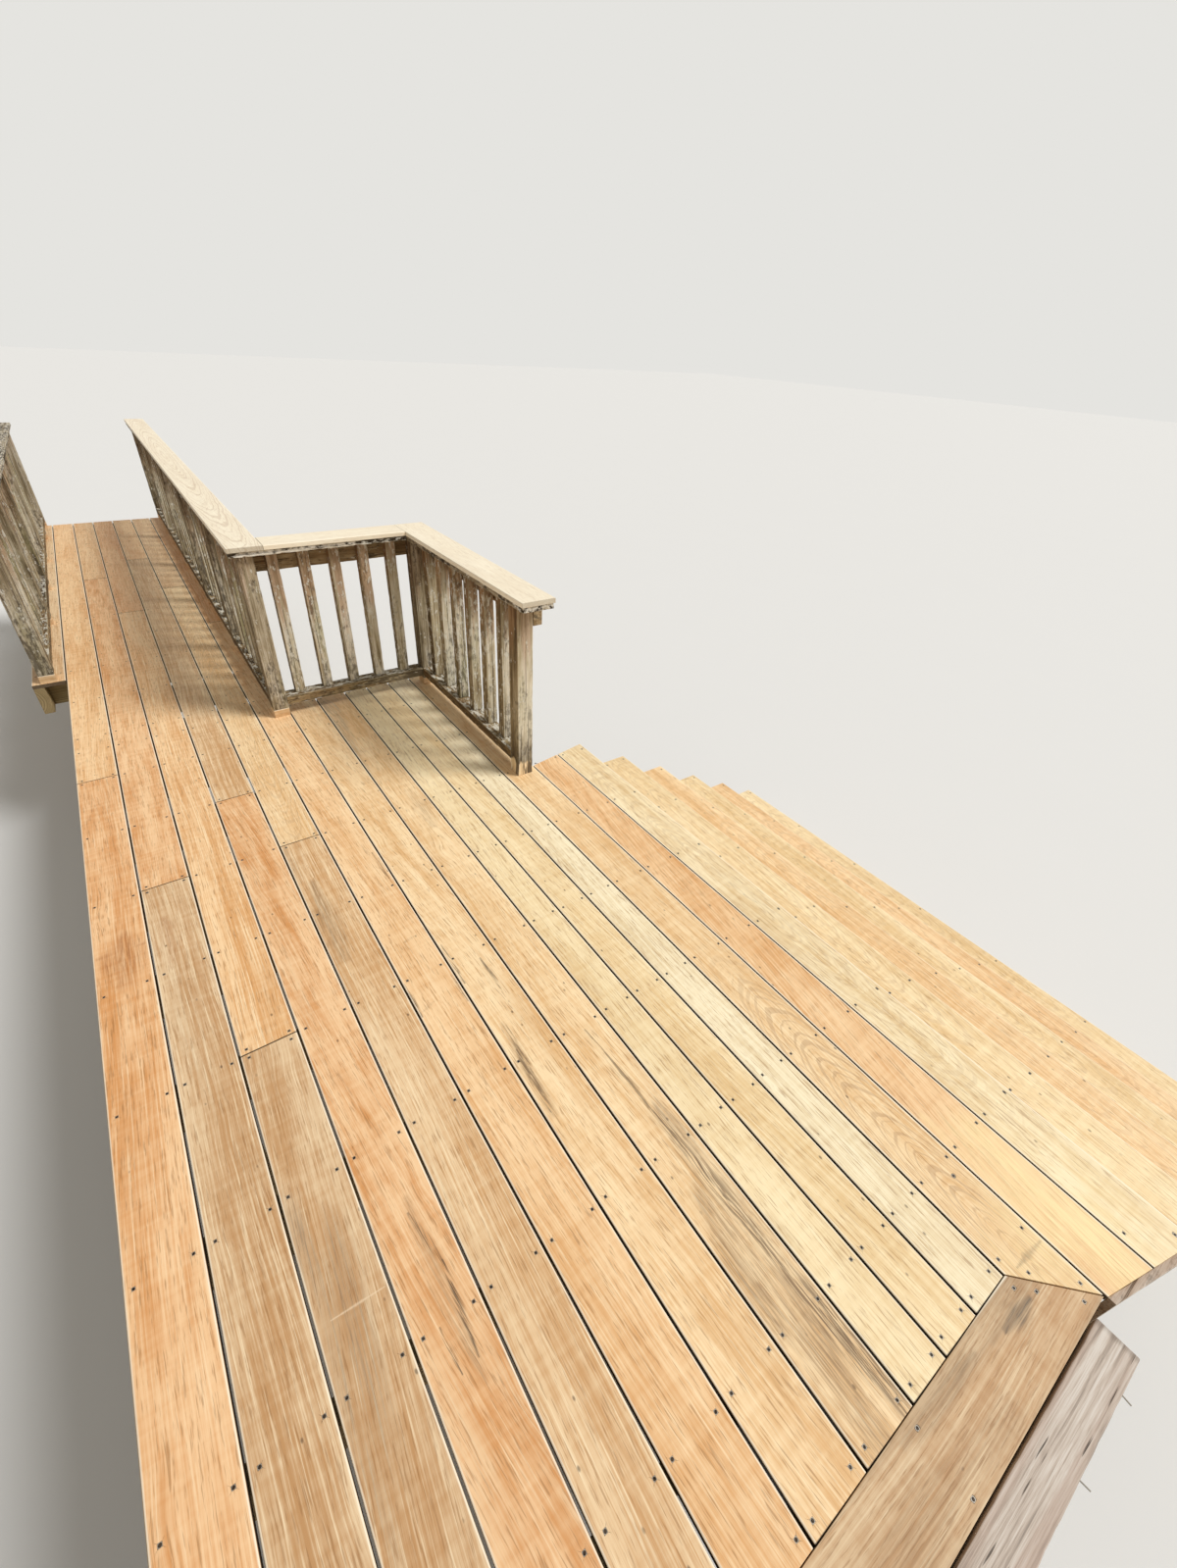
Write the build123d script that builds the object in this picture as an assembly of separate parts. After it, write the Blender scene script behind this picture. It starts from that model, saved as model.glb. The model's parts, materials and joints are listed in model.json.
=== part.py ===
from build123d import *
import os

# Raised timber deck with a wide flight of stairs and old balustrades.
# Units are millimetres, +Z is up and the ground is at z = 0.
# While building, x runs from the wall edge of the deck down the stairs,
# y runs along the boards and the walkway, and z is height above ground.
# At the end everything is moved so that the origin is the centre of the
# footprint at ground level.

# Stairs
RISE = 152.0            # height of one step
GOING = 273.0           # depth of one step, nosing to nosing
STEP_COUNT = 6          # rises from ground to deck
STAIR_NEAR_BACK = 1.0   # near end of the treads behind the head's corner
STAIR_FAR_BACK = 4.0    # far end of the treads behind the head's corner
STRINGER_T = 45.0       # thickness of a cut stringer
STRINGER_THROAT = 120.0  # timber left below the notches
STRINGER_COUNT = 6
STRINGER_INSET = 18.0   # from a tread's end to the outer stringer
PLATE_W = 90.0          # foot plate on the ground
PLATE_T = 45.0

# Decking boards
BOARD_W = 140.0
BOARD_T = 19.0
BOARD_GAP = 5.0
NARROW_W = 110.5        # the narrower boards in the wide part
NARROW_INDEX = 8        # the first of them, counted from the wall
NARROW_COUNT = 3
WIDE_AFTER_COUNT = 3    # full boards outside them
BOARD_EDGE = 2.0        # eased top edges
BUTT_GAP = 1.5          # butt joint between two lengths of board
WALL_GAP = 7.5          # dark gap between the house wall and the first board

# Plan of the deck
WALKWAY_COUNT = 6       # boards that run the whole length
WALKWAY_END = 7392.0    # far end of the walkway
HOUSE_CORNER = 3927.0   # the house wall stops here; one more board outside
WING_END = 3138.0       # far end of the wide part
HEAD_SPLAY_IN = 2052.0  # far end of the stair head, inner and outer corner
HEAD_SPLAY_OUT = 2101.0
NEAR_SPLAY_GAP = 5.5    # near end of the stair head past the cross board
NEAR_SPLAY_RUN = 70.0   # how far its outer corner stands out
NEAR_SKEW = 0.018       # the near end runs out towards the wall, per mm of x
BREAKER_GAP = 2.0
MITRE_GAP = 1.8
BREAKER_IN = -133.0     # inner edge of the cross board, at the mitre
OLD_BEAM_GAP = 7.0      # dark gap between cross board and old edge beam
OLD_BEAM_W = 79.0
OLD_BEAM_DROP = 6.0     # its top lies a little below the boards
OLD_BEAM_BACK = 49.0    # its cut end behind the mitred board's edge
SIDE_STRIP_T = 16.0     # old strip along the splayed near end
SIDE_STRIP_H = 120.0
SIDE_STRIP_DROP = 2.0

# Framing below the boards
JOIST_T = 45.0
JOIST_H = 140.0
JOIST_PITCH = 400.0
JOIST_FIRST = 50.0      # first regular joist, centre
JOIST_PAIR_GAP = 2.0    # between the two joists under the cross board's edge
LEDGER_GAP = 2.0        # between the house wall line and the ledger
BEARER_W = 90.0
BEARER_H = 140.0
BEARER_LINES = (195.0, 700.0, 1500.0)
PILE_W = 125.0
PILE_PITCH = 1400.0

# Balustrades
POST_W = 70.0
PACKER_H = 38.0         # light blocks below the posts
RAIL_GAP = 53.0         # deck to the underside of the bottom rail
RAIL_H = 44.0
BALUSTER_W = 46.0
TOP_RAIL_T = 40.0
TOP_RAIL_H = 92.0
CAP_W = 140.0
OLD_CAP_T = 22.0
NEW_CAP_T = 19.0
OLD_CAP_INSET = 4.0     # old cap edge behind the new one
CAP_TOP = 800.0         # top of the new cap above the deck
CAP_REACH = 1.0         # new cap past the top rail
CAP_EASE = 2.0
CAP_JOINT = 1.0
CAP_OVERHANG = 90.0     # free end of the cap past the end post

LONG_POST_BACK = 0.0    # walkway posts behind the edge of their board
SHORT_POST_BACK = 41.0  # cross section posts behind the end of the boards
STAIR_POST_BACK = 25.0  # stair side posts behind the edge of their board
END_POST_BACK = 42.0    # end post's near face before the stair head's far end
LONG_POST_PITCH = 880.0
LONG_BAY_COUNT = 4
LONG_BALUSTER_COUNT = 5  # per full bay
LAST_BALUSTER_COUNT = 4
SHORT_BALUSTER_COUNT = 5
SHORT_FIRST_GAP = 51.0
SHORT_LAST_GAP = 66.0
STAIR_BALUSTER_COUNT = 6
STAIR_FIRST_GAP = 101.0
STAIR_LAST_GAP = 69.0

LEFT_POST_IN = -30.0    # deck side face of the left posts
LEFT_FIRST_GAP = 8.0    # house corner to the first left post
LEFT_FIRST_BAY = 800.0  # clear width of the first left bay
LEFT_BAY_SHARE = 0.278   # of the run from the second left post to the last
LEFT_BAY_COUNT = 3      # regular bays after the first one
LEFT_FIRST_BALUSTER_COUNT = 5
LEFT_BALUSTER_COUNT = 4
LEFT_LAST_BALUSTER_COUNT = 3

# Derived heights
DECK_TOP = RISE * STEP_COUNT
BOARD_UNDER = DECK_TOP - BOARD_T
JOIST_UNDER = BOARD_UNDER - JOIST_H
BEARER_UNDER = JOIST_UNDER - BEARER_H
CAP_TOP_Z = DECK_TOP + CAP_TOP
OLD_CAP_TOP = CAP_TOP_Z - NEW_CAP_T
OLD_CAP_UNDER = OLD_CAP_TOP - OLD_CAP_T
RAIL_UNDER = DECK_TOP + RAIL_GAP
RAIL_TOP = RAIL_UNDER + RAIL_H

# Derived board edges: (low x, high x) of every board from the wall outwards
PITCH = BOARD_W + BOARD_GAP
NARROW_PITCH = NARROW_W + BOARD_GAP


def board_span(index):
    """Low and high x of board number index, counted from the wall."""
    after_narrow = NARROW_INDEX + NARROW_COUNT
    narrow_before = min(max(0, index - NARROW_INDEX), NARROW_COUNT)
    wide_before = index - narrow_before
    low = WALL_GAP + wide_before * PITCH + narrow_before * NARROW_PITCH
    width = NARROW_W if NARROW_INDEX <= index < after_narrow else BOARD_W
    return low, low + width


FRAME_INDEX = NARROW_INDEX + NARROW_COUNT
LAST_INDEX = FRAME_INDEX + WIDE_AFTER_COUNT - 1
WALKWAY_EDGE = board_span(WALKWAY_COUNT - 1)[1]
WING_EDGE = board_span(FRAME_INDEX)[1]
HEAD_EDGE = board_span(LAST_INDEX)[1]
OUTER_BOARD = (WALL_GAP - BOARD_GAP - BOARD_W, WALL_GAP - BOARD_GAP)
SKEW_FROM = board_span(FRAME_INDEX)[0]
BREAKER_OUT = BREAKER_IN - BOARD_W
BOARD_NEAR = BREAKER_IN + BREAKER_GAP
BEAM_IN = BREAKER_OUT - OLD_BEAM_GAP
BEAM_OUT = BEAM_IN - OLD_BEAM_W
NEAR_SPLAY_IN = BREAKER_OUT + NEAR_SKEW * BOARD_W - NEAR_SPLAY_GAP
NEAR_SPLAY_OUT = NEAR_SPLAY_IN - NEAR_SPLAY_RUN
STAIR_NEAR = NEAR_SPLAY_OUT + STAIR_NEAR_BACK
STAIR_FAR = HEAD_SPLAY_OUT - STAIR_FAR_BACK
LONG_POST_IN = WALKWAY_EDGE - LONG_POST_BACK - POST_W
SHORT_POST_IN = WING_END - SHORT_POST_BACK - POST_W
STAIR_POST_IN = WING_EDGE - STAIR_POST_BACK - POST_W
END_POST_NEAR = HEAD_SPLAY_IN - END_POST_BACK
CAP_END = END_POST_NEAR - CAP_OVERHANG
LEFT_FIRST = HOUSE_CORNER + LEFT_FIRST_GAP
LEFT_NEXT = LEFT_FIRST + POST_W + LEFT_FIRST_BAY


def slab(x0, x1, y0, y1, z0, z1):
    """A square-edged timber between two corners."""
    return Pos(x0, y0, z0) * Box(x1 - x0, y1 - y0, z1 - z0, align=(Align.MIN,) * 3)


def eased(solid, axis, size):
    """Ease the two top edges that run along the timber."""
    return chamfer(solid.edges().filter_by(axis).group_by(Axis.Z)[-1], size)


def board(x0, x1, y0, y1, top=DECK_TOP):
    """A decking board along y with eased top edges."""
    return eased(slab(x0, x1, y0, y1, top - BOARD_T, top), Axis.Y, BOARD_EDGE)


def plan_piece(points, z0, z1):
    """A timber with a plan outline that isn't square."""
    return Pos(0, 0, z0) * extrude(make_face(Polyline(*points, close=True)), z1 - z0)


def skewed(line, x):
    """A line of the near end at x; it is given where the mitre starts."""
    return line + NEAR_SKEW * (x - SKEW_FROM)


def skewed_strip(x0, x1, low, high, z0, z1):
    """A timber along the near end between two of its lines."""
    outline = [
        (x0, skewed(low, x0)),
        (x1, skewed(low, x1)),
        (x1, skewed(high, x1)),
        (x0, skewed(high, x0)),
    ]
    return plan_piece(outline, z0, z1)


def near_board(index, y1):
    """A decking board from the near end, cut to its slant, as far as y1."""
    x0, x1 = board_span(index)
    outline = [
        (x0, skewed(BOARD_NEAR, x0)),
        (x1, skewed(BOARD_NEAR, x1)),
        (x1, y1),
        (x0, y1),
    ]
    return eased(plan_piece(outline, BOARD_UNDER, DECK_TOP), Axis.Y, BOARD_EDGE)


def boards_with_butts(index, y1, butts):
    """One line of decking from the near end in several lengths."""
    x0, x1 = board_span(index)
    stops = sorted(butts) + [y1 + BUTT_GAP / 2]
    pieces = [near_board(index, stops[0] - BUTT_GAP / 2)]
    for low, high in zip(stops[:-1], stops[1:]):
        pieces.append(board(x0, x1, low + BUTT_GAP / 2, high - BUTT_GAP / 2))
    return pieces


def joist_line(number):
    """Centre of a regular joist."""
    return JOIST_FIRST + number * JOIST_PITCH


parts = {}

# Walkway boards with their butt joints over the joists
butt_joists = {0: (7,), 1: (5, 14), 2: (3, 12), 3: (6, 15), 4: (5, 13), 5: (11,)}
walkway = []
for index in range(WALKWAY_COUNT):
    butts = [joist_line(number) for number in butt_joists[index]]
    walkway += boards_with_butts(index, WALKWAY_END, butts)
# One more board lies outside the walkway, beyond the house corner
walkway.append(board(*OUTER_BOARD, HOUSE_CORNER, WALKWAY_END))
parts["walkway_boards"] = walkway

# Wide part: boards between the walkway and the stair head
parts["wide_deck_boards"] = [
    near_board(index, WING_END) for index in range(WALKWAY_COUNT, FRAME_INDEX)
]

# Mitred frame of the near end: a long board and a cross board
frame_in, frame_out = board_span(FRAME_INDEX)
parts["mitred_frame_board"] = [
    plan_piece(
        [
            (frame_in, BREAKER_IN + MITRE_GAP),
            (frame_out, skewed(BREAKER_OUT, frame_out) + MITRE_GAP),
            (frame_out, WING_END),
            (frame_in, WING_END),
        ],
        BOARD_UNDER,
        DECK_TOP,
    )
]
parts["cross_board"] = [
    plan_piece(
        [
            (WALL_GAP, skewed(BREAKER_OUT, WALL_GAP)),
            (frame_out - MITRE_GAP, skewed(BREAKER_OUT, frame_out - MITRE_GAP)),
            (frame_in - MITRE_GAP, skewed(BREAKER_IN, frame_in - MITRE_GAP)),
            (WALL_GAP, skewed(BREAKER_IN, WALL_GAP)),
        ],
        BOARD_UNDER,
        DECK_TOP,
    )
]

# Stair head: two boards with splayed ends
splay_x0 = board_span(FRAME_INDEX + 1)[0]
splay_run = HEAD_EDGE - splay_x0


def near_splay(x):
    """Near end of the stair head at x."""
    return NEAR_SPLAY_IN + (NEAR_SPLAY_OUT - NEAR_SPLAY_IN) * (x - splay_x0) / splay_run


def far_splay(x):
    """Far end of the stair head at x."""
    return HEAD_SPLAY_IN + (HEAD_SPLAY_OUT - HEAD_SPLAY_IN) * (x - splay_x0) / splay_run


head = []
for index in range(FRAME_INDEX + 1, LAST_INDEX + 1):
    x0, x1 = board_span(index)
    outline = [
        (x0, near_splay(x0)),
        (x1, near_splay(x1)),
        (x1, far_splay(x1)),
        (x0, far_splay(x0)),
    ]
    head.append(plan_piece(outline, BOARD_UNDER, DECK_TOP))
parts["stair_head_boards"] = head

# Old strip against the splayed near end, as far as the first riser board
RISER_BACK = HEAD_EDGE - (2 * BOARD_W + BOARD_GAP - GOING) - BOARD_T
strip_top = DECK_TOP - SIDE_STRIP_DROP
parts["old_side_strip"] = [
    plan_piece(
        [
            (splay_x0, near_splay(splay_x0)),
            (splay_x0, near_splay(splay_x0) - SIDE_STRIP_T),
            (RISER_BACK, near_splay(RISER_BACK) - SIDE_STRIP_T),
            (RISER_BACK, near_splay(RISER_BACK)),
        ],
        strip_top - SIDE_STRIP_H,
        strip_top,
    )
]

# Old edge beam beyond the cross board
beam_end = WING_EDGE - OLD_BEAM_BACK
beam_top = DECK_TOP - OLD_BEAM_DROP
parts["old_edge_beam"] = [
    skewed_strip(WALL_GAP, beam_end, BEAM_OUT, BEAM_IN, JOIST_UNDER, beam_top)
]

# Treads of two boards each, numbered from the top
for step in range(1, STEP_COUNT):
    front = HEAD_EDGE + step * GOING
    top = DECK_TOP - step * RISE
    parts[f"tread_{step}"] = [
        board(front - BOARD_W, front, STAIR_NEAR, STAIR_FAR, top),
        board(front - 2 * BOARD_W - BOARD_GAP, front - PITCH, STAIR_NEAR, STAIR_FAR, top),
    ]
TREAD_DEPTH = 2 * BOARD_W + BOARD_GAP

# Riser boards close the back of each tread
risers = []
for step in range(1, STEP_COUNT + 1):
    face = HEAD_EDGE + (step - 1) * GOING - (TREAD_DEPTH - GOING)
    high = DECK_TOP - (step - 1) * RISE - BOARD_T
    low = max(0.0, high - BOARD_W)
    risers.append(slab(face - BOARD_T, face, STAIR_NEAR, STAIR_FAR, low, high))
parts["riser_boards"] = risers

# Cut stringers between the edge joist and the foot plate
cut_x = RISER_BACK
EDGE_JOIST_OUT = cut_x - JOIST_T
profile = [(EDGE_JOIST_OUT, BOARD_UNDER), (cut_x, BOARD_UNDER)]
for step in range(1, STEP_COUNT):
    seat = DECK_TOP - step * RISE - BOARD_T
    profile.append((cut_x + (step - 1) * GOING, seat))
    profile.append((cut_x + step * GOING, seat))
foot_x = cut_x + (STEP_COUNT - 1) * GOING
profile.append((foot_x, PLATE_T))
slope = RISE / GOING
drop = STRINGER_THROAT * (1 + slope**2) ** 0.5
corner_z = DECK_TOP - RISE - BOARD_T - drop
profile.append((cut_x + (corner_z - PLATE_T) / slope, PLATE_T))
profile.append((EDGE_JOIST_OUT, corner_z + JOIST_T * slope))
stringer_face = make_face(Plane.XZ * Polyline(*profile, close=True))
stringer_low = STAIR_NEAR + STRINGER_INSET
stringer_step = (STAIR_FAR - STRINGER_INSET - STRINGER_T - stringer_low) / (STRINGER_COUNT - 1)
stringers = []
for number in range(STRINGER_COUNT):
    blank = extrude(stringer_face, STRINGER_T, dir=(0, 1, 0))
    stringers.append(Pos(0, stringer_low + number * stringer_step, 0) * blank)
parts["stair_stringers"] = stringers
parts["stair_foot_plate"] = [
    slab(foot_x - PLATE_W, foot_x, STAIR_NEAR, STAIR_FAR, 0, PLATE_T)
]

# Ledger on the house wall and the joists along the deck's edges
LEDGER = (LEDGER_GAP, LEDGER_GAP + JOIST_T)
ledger_near = skewed(BREAKER_OUT, LEDGER[1])
parts["wall_ledger"] = [slab(*LEDGER, ledger_near, HOUSE_CORNER, JOIST_UNDER, BOARD_UNDER)]
HEAD_JOIST = (EDGE_JOIST_OUT - JOIST_T, EDGE_JOIST_OUT)
WING_JOIST = (WING_EDGE - JOIST_T, WING_EDGE)
WALK_JOIST = (WALKWAY_EDGE - JOIST_T, WALKWAY_EDGE)
LEFT_JOIST = (OUTER_BOARD[0], OUTER_BOARD[0] + JOIST_T)
parts["edge_joists"] = [
    slab(*HEAD_JOIST, near_splay(HEAD_JOIST[0]), HEAD_SPLAY_IN, JOIST_UNDER, BOARD_UNDER),
    slab(*WING_JOIST, HEAD_SPLAY_IN, WING_END, JOIST_UNDER, BOARD_UNDER),
    slab(*WALK_JOIST, WING_END, WALKWAY_END, JOIST_UNDER, BOARD_UNDER),
    slab(*LEFT_JOIST, HOUSE_CORNER, WALKWAY_END, JOIST_UNDER, BOARD_UNDER),
]

# Joists across the deck
joists = []


def joist(x0, x1, centre):
    """A joist across the deck at a centre line."""
    y0 = centre - JOIST_T / 2
    joists.append(slab(x0, x1, y0, y0 + JOIST_T, JOIST_UNDER, BOARD_UNDER))


head_stop = HEAD_JOIST[0]
pair = BREAKER_IN + BREAKER_GAP / 2
near_lines = (BREAKER_OUT, pair - JOIST_PAIR_GAP / 2 - JOIST_T, pair + JOIST_PAIR_GAP / 2)
for line in near_lines:
    joists.append(
        skewed_strip(LEDGER[1], head_stop, line, line + JOIST_T, JOIST_UNDER, BOARD_UNDER)
    )
number = 0
while joist_line(number) < WALKWAY_END - JOIST_T:
    centre = joist_line(number)
    start = LEDGER[1] if centre < HOUSE_CORNER else LEFT_JOIST[1]
    if centre + JOIST_T / 2 < HEAD_SPLAY_IN:
        stop = head_stop
    elif centre < WING_END:
        stop = WING_JOIST[0]
    else:
        stop = WALK_JOIST[0]
    joist(start, stop, centre)
    number += 1
joist(LEDGER[1], WING_JOIST[0], WING_END - JOIST_T / 2)
joist(LEFT_JOIST[1], WALK_JOIST[0], WALKWAY_END - JOIST_T / 2)
parts["deck_joists"] = joists

# Bearers under the joists and piles under the bearers
bearer_ends = (WALKWAY_END, WALKWAY_END, WING_END)
bearers = []
piles = []
for line, end in zip(BEARER_LINES, bearer_ends):
    start = skewed(BEAM_OUT, line)
    bearers.append(
        slab(line - BEARER_W / 2, line + BEARER_W / 2, start, end, BEARER_UNDER, JOIST_UNDER)
    )
    count = round((end - start - PILE_W) / PILE_PITCH)
    spacing = (end - start - PILE_W) / count
    for pile in range(count + 1):
        y0 = start + pile * spacing
        x0 = line - PILE_W / 2
        piles.append(slab(x0, x0 + PILE_W, y0, y0 + PILE_W, 0, BEARER_UNDER))
parts["bearers"] = bearers
parts["piles"] = piles

# Posts of the right balustrade
LONG_OUT = LONG_POST_IN + POST_W
SHORT_OUT = SHORT_POST_IN + POST_W
STAIR_OUT = STAIR_POST_IN + POST_W
WALL_POST = WALKWAY_END - POST_W
post_foot = DECK_TOP + PACKER_H


def post(x0, y0, foot):
    """A square post up to the underside of the old cap."""
    return slab(x0, x0 + POST_W, y0, y0 + POST_W, foot, OLD_CAP_UNDER)


def packer(x0, y0):
    """A light block between a post and the boards."""
    return slab(x0, x0 + POST_W, y0, y0 + POST_W, DECK_TOP, post_foot)


parts["corner_posts"] = [
    post(LONG_POST_IN, SHORT_POST_IN, post_foot),
    post(STAIR_POST_IN, SHORT_POST_IN, post_foot),
]
parts["stair_end_post"] = [post(STAIR_POST_IN, END_POST_NEAR, DECK_TOP)]
long_posts = [SHORT_POST_IN + bay * LONG_POST_PITCH for bay in range(1, LONG_BAY_COUNT + 1)]
long_posts.append(WALL_POST)
parts["walkway_posts"] = [post(LONG_POST_IN, y0, post_foot) for y0 in long_posts]
left_posts = [LEFT_FIRST]
left_pitch = LEFT_BAY_SHARE * (WALL_POST - LEFT_NEXT)
left_posts += [LEFT_NEXT + bay * left_pitch for bay in range(LEFT_BAY_COUNT + 1)]
left_posts.append(WALL_POST)
left_x0 = LEFT_POST_IN - POST_W
parts["left_posts"] = [post(left_x0, y0, post_foot) for y0 in left_posts]
packers = [packer(LONG_POST_IN, SHORT_POST_IN), packer(STAIR_POST_IN, SHORT_POST_IN)]
packers += [packer(LONG_POST_IN, y0) for y0 in long_posts]
packers += [packer(left_x0, y0) for y0 in left_posts]
parts["post_packers"] = packers


def fill_along_y(x_rail, x_bal, y_posts, counts):
    """Bottom rails between posts and evenly spaced balusters on them."""
    rails = []
    balusters = []
    for near, far, count in zip(y_posts[:-1], y_posts[1:], counts):
        low = near + POST_W
        rails.append(slab(x_rail, x_rail + POST_W, low, far, RAIL_UNDER, RAIL_TOP))
        gap = (far - low - count * BALUSTER_W) / (count + 1)
        for place in range(count):
            y0 = low + gap + place * (BALUSTER_W + gap)
            balusters.append(
                slab(x_bal, x_bal + BALUSTER_W, y0, y0 + BALUSTER_W, RAIL_TOP, OLD_CAP_UNDER)
            )
    return rails, balusters


# Walkway section
walk_counts = [LONG_BALUSTER_COUNT] * LONG_BAY_COUNT + [LAST_BALUSTER_COUNT]
rails, balusters = fill_along_y(
    LONG_POST_IN, LONG_OUT - BALUSTER_W, [SHORT_POST_IN] + long_posts, walk_counts
)
parts["walkway_bottom_rail"] = rails
parts["walkway_balusters"] = balusters

# Left section
left_counts = [LEFT_FIRST_BALUSTER_COUNT]
left_counts += [LEFT_BALUSTER_COUNT] * LEFT_BAY_COUNT
left_counts += [LEFT_LAST_BALUSTER_COUNT]
rails, balusters = fill_along_y(left_x0, left_x0, left_posts, left_counts)
parts["left_bottom_rail"] = rails
parts["left_balusters"] = balusters

# Short section
parts["short_bottom_rail"] = [
    slab(LONG_OUT, STAIR_POST_IN, SHORT_POST_IN, SHORT_OUT, RAIL_UNDER, RAIL_TOP)
]
short = []
short_run = STAIR_POST_IN - LONG_OUT - SHORT_FIRST_GAP - SHORT_LAST_GAP - BALUSTER_W
for place in range(SHORT_BALUSTER_COUNT):
    x0 = LONG_OUT + SHORT_FIRST_GAP + place * short_run / (SHORT_BALUSTER_COUNT - 1)
    short.append(
        slab(x0, x0 + BALUSTER_W, SHORT_OUT - BALUSTER_W, SHORT_OUT, RAIL_TOP, OLD_CAP_UNDER)
    )
parts["short_balusters"] = short

# Section beside the stairs
stair_low = END_POST_NEAR + POST_W
parts["stair_bottom_rail"] = [
    slab(STAIR_POST_IN, STAIR_OUT, stair_low, SHORT_POST_IN, RAIL_UNDER, RAIL_TOP)
]
beside = []
stair_run = SHORT_POST_IN - stair_low - STAIR_FIRST_GAP - STAIR_LAST_GAP - BALUSTER_W
for place in range(STAIR_BALUSTER_COUNT):
    y0 = stair_low + STAIR_FIRST_GAP + place * stair_run / (STAIR_BALUSTER_COUNT - 1)
    beside.append(
        slab(STAIR_OUT - BALUSTER_W, STAIR_OUT, y0, y0 + BALUSTER_W, RAIL_TOP, OLD_CAP_UNDER)
    )
parts["stair_balusters"] = beside

# Top rails on edge, on the outer side of the posts
TOP_RAIL_LOW = OLD_CAP_UNDER - TOP_RAIL_H
short_rail_out = SHORT_OUT + TOP_RAIL_T
parts["walkway_top_rail"] = [
    slab(LONG_OUT, LONG_OUT + TOP_RAIL_T, short_rail_out, WALKWAY_END, TOP_RAIL_LOW, OLD_CAP_UNDER)
]
parts["short_top_rail"] = [
    slab(LONG_POST_IN, STAIR_OUT, SHORT_OUT, short_rail_out, TOP_RAIL_LOW, OLD_CAP_UNDER)
]
parts["stair_top_rail"] = [
    slab(
        STAIR_OUT, STAIR_OUT + TOP_RAIL_T, END_POST_NEAR, short_rail_out, TOP_RAIL_LOW, OLD_CAP_UNDER
    )
]
parts["left_top_rail"] = [
    slab(left_x0 - TOP_RAIL_T, left_x0, LEFT_FIRST, WALKWAY_END, TOP_RAIL_LOW, OLD_CAP_UNDER)
]

# Caps: the new boards lie on the old ones
LONG_CAP_OUT = LONG_OUT + TOP_RAIL_T + CAP_REACH
LONG_CAP_IN = LONG_CAP_OUT - CAP_W
SHORT_CAP_OUT = SHORT_OUT + TOP_RAIL_T + CAP_REACH
SHORT_CAP_IN = SHORT_CAP_OUT - CAP_W
STAIR_CAP_OUT = STAIR_OUT + TOP_RAIL_T + CAP_REACH
STAIR_CAP_IN = STAIR_CAP_OUT - CAP_W
LEFT_CAP_OUT = left_x0 - TOP_RAIL_T - CAP_REACH


def cap(x0, x1, y0, y1, axis, new):
    """A cap board, new or old, with eased top edges."""
    z0 = OLD_CAP_TOP if new else OLD_CAP_UNDER
    z1 = CAP_TOP_Z if new else OLD_CAP_TOP
    return [eased(slab(x0, x1, y0, y1, z0, z1), axis, CAP_EASE)]


inset = OLD_CAP_INSET
parts["walkway_cap"] = cap(LONG_CAP_IN, LONG_CAP_OUT, SHORT_CAP_IN, WALKWAY_END, Axis.Y, True)
parts["short_cap"] = cap(
    LONG_CAP_OUT + CAP_JOINT, STAIR_CAP_IN - CAP_JOINT, SHORT_CAP_IN, SHORT_CAP_OUT, Axis.X, True
)
parts["stair_cap"] = cap(STAIR_CAP_IN, STAIR_CAP_OUT, CAP_END, SHORT_CAP_OUT, Axis.Y, True)
parts["walkway_old_cap"] = cap(
    LONG_CAP_IN + inset, LONG_CAP_OUT - inset, SHORT_CAP_OUT - inset, WALKWAY_END, Axis.Y, False
)
parts["short_old_cap"] = cap(
    LONG_CAP_IN + inset,
    STAIR_CAP_IN + inset - CAP_JOINT,
    SHORT_CAP_IN + inset,
    SHORT_CAP_OUT - inset - CAP_JOINT,
    Axis.X,
    False,
)
parts["stair_old_cap"] = cap(
    STAIR_CAP_IN + inset,
    STAIR_CAP_OUT - inset,
    CAP_END + inset,
    SHORT_CAP_OUT - inset,
    Axis.Y,
    False,
)
parts["left_old_cap"] = cap(
    LEFT_CAP_OUT, LEFT_CAP_OUT + CAP_W, LEFT_FIRST - inset, WALKWAY_END, Axis.Y, False
)

# Put the origin at the centre of the footprint on the ground
boxes = [shape.bounding_box() for group in parts.values() for shape in group]
x_low = min(each.min.X for each in boxes)
x_high = max(each.max.X for each in boxes)
y_low = min(each.min.Y for each in boxes)
y_high = max(each.max.Y for each in boxes)
shift = Pos(-(x_low + x_high) / 2, -(y_low + y_high) / 2, 0)

os.makedirs("parts", exist_ok=True)
for name, group in parts.items():
    solids = [solid for shape in group for solid in (shift * shape).solids()]
    export_step(solids[0] if len(solids) == 1 else Compound(children=solids), f"parts/{name}.step")
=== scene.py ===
"""Looks of a raised wooden deck with a wide flight of stairs and old balustrades."""

import functools
import json
import logging
import math
import random
from dataclasses import dataclass, field
from enum import Enum
from typing import Any, Callable

import bmesh
import bpy
from mathutils import Matrix, Vector, noise


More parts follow.
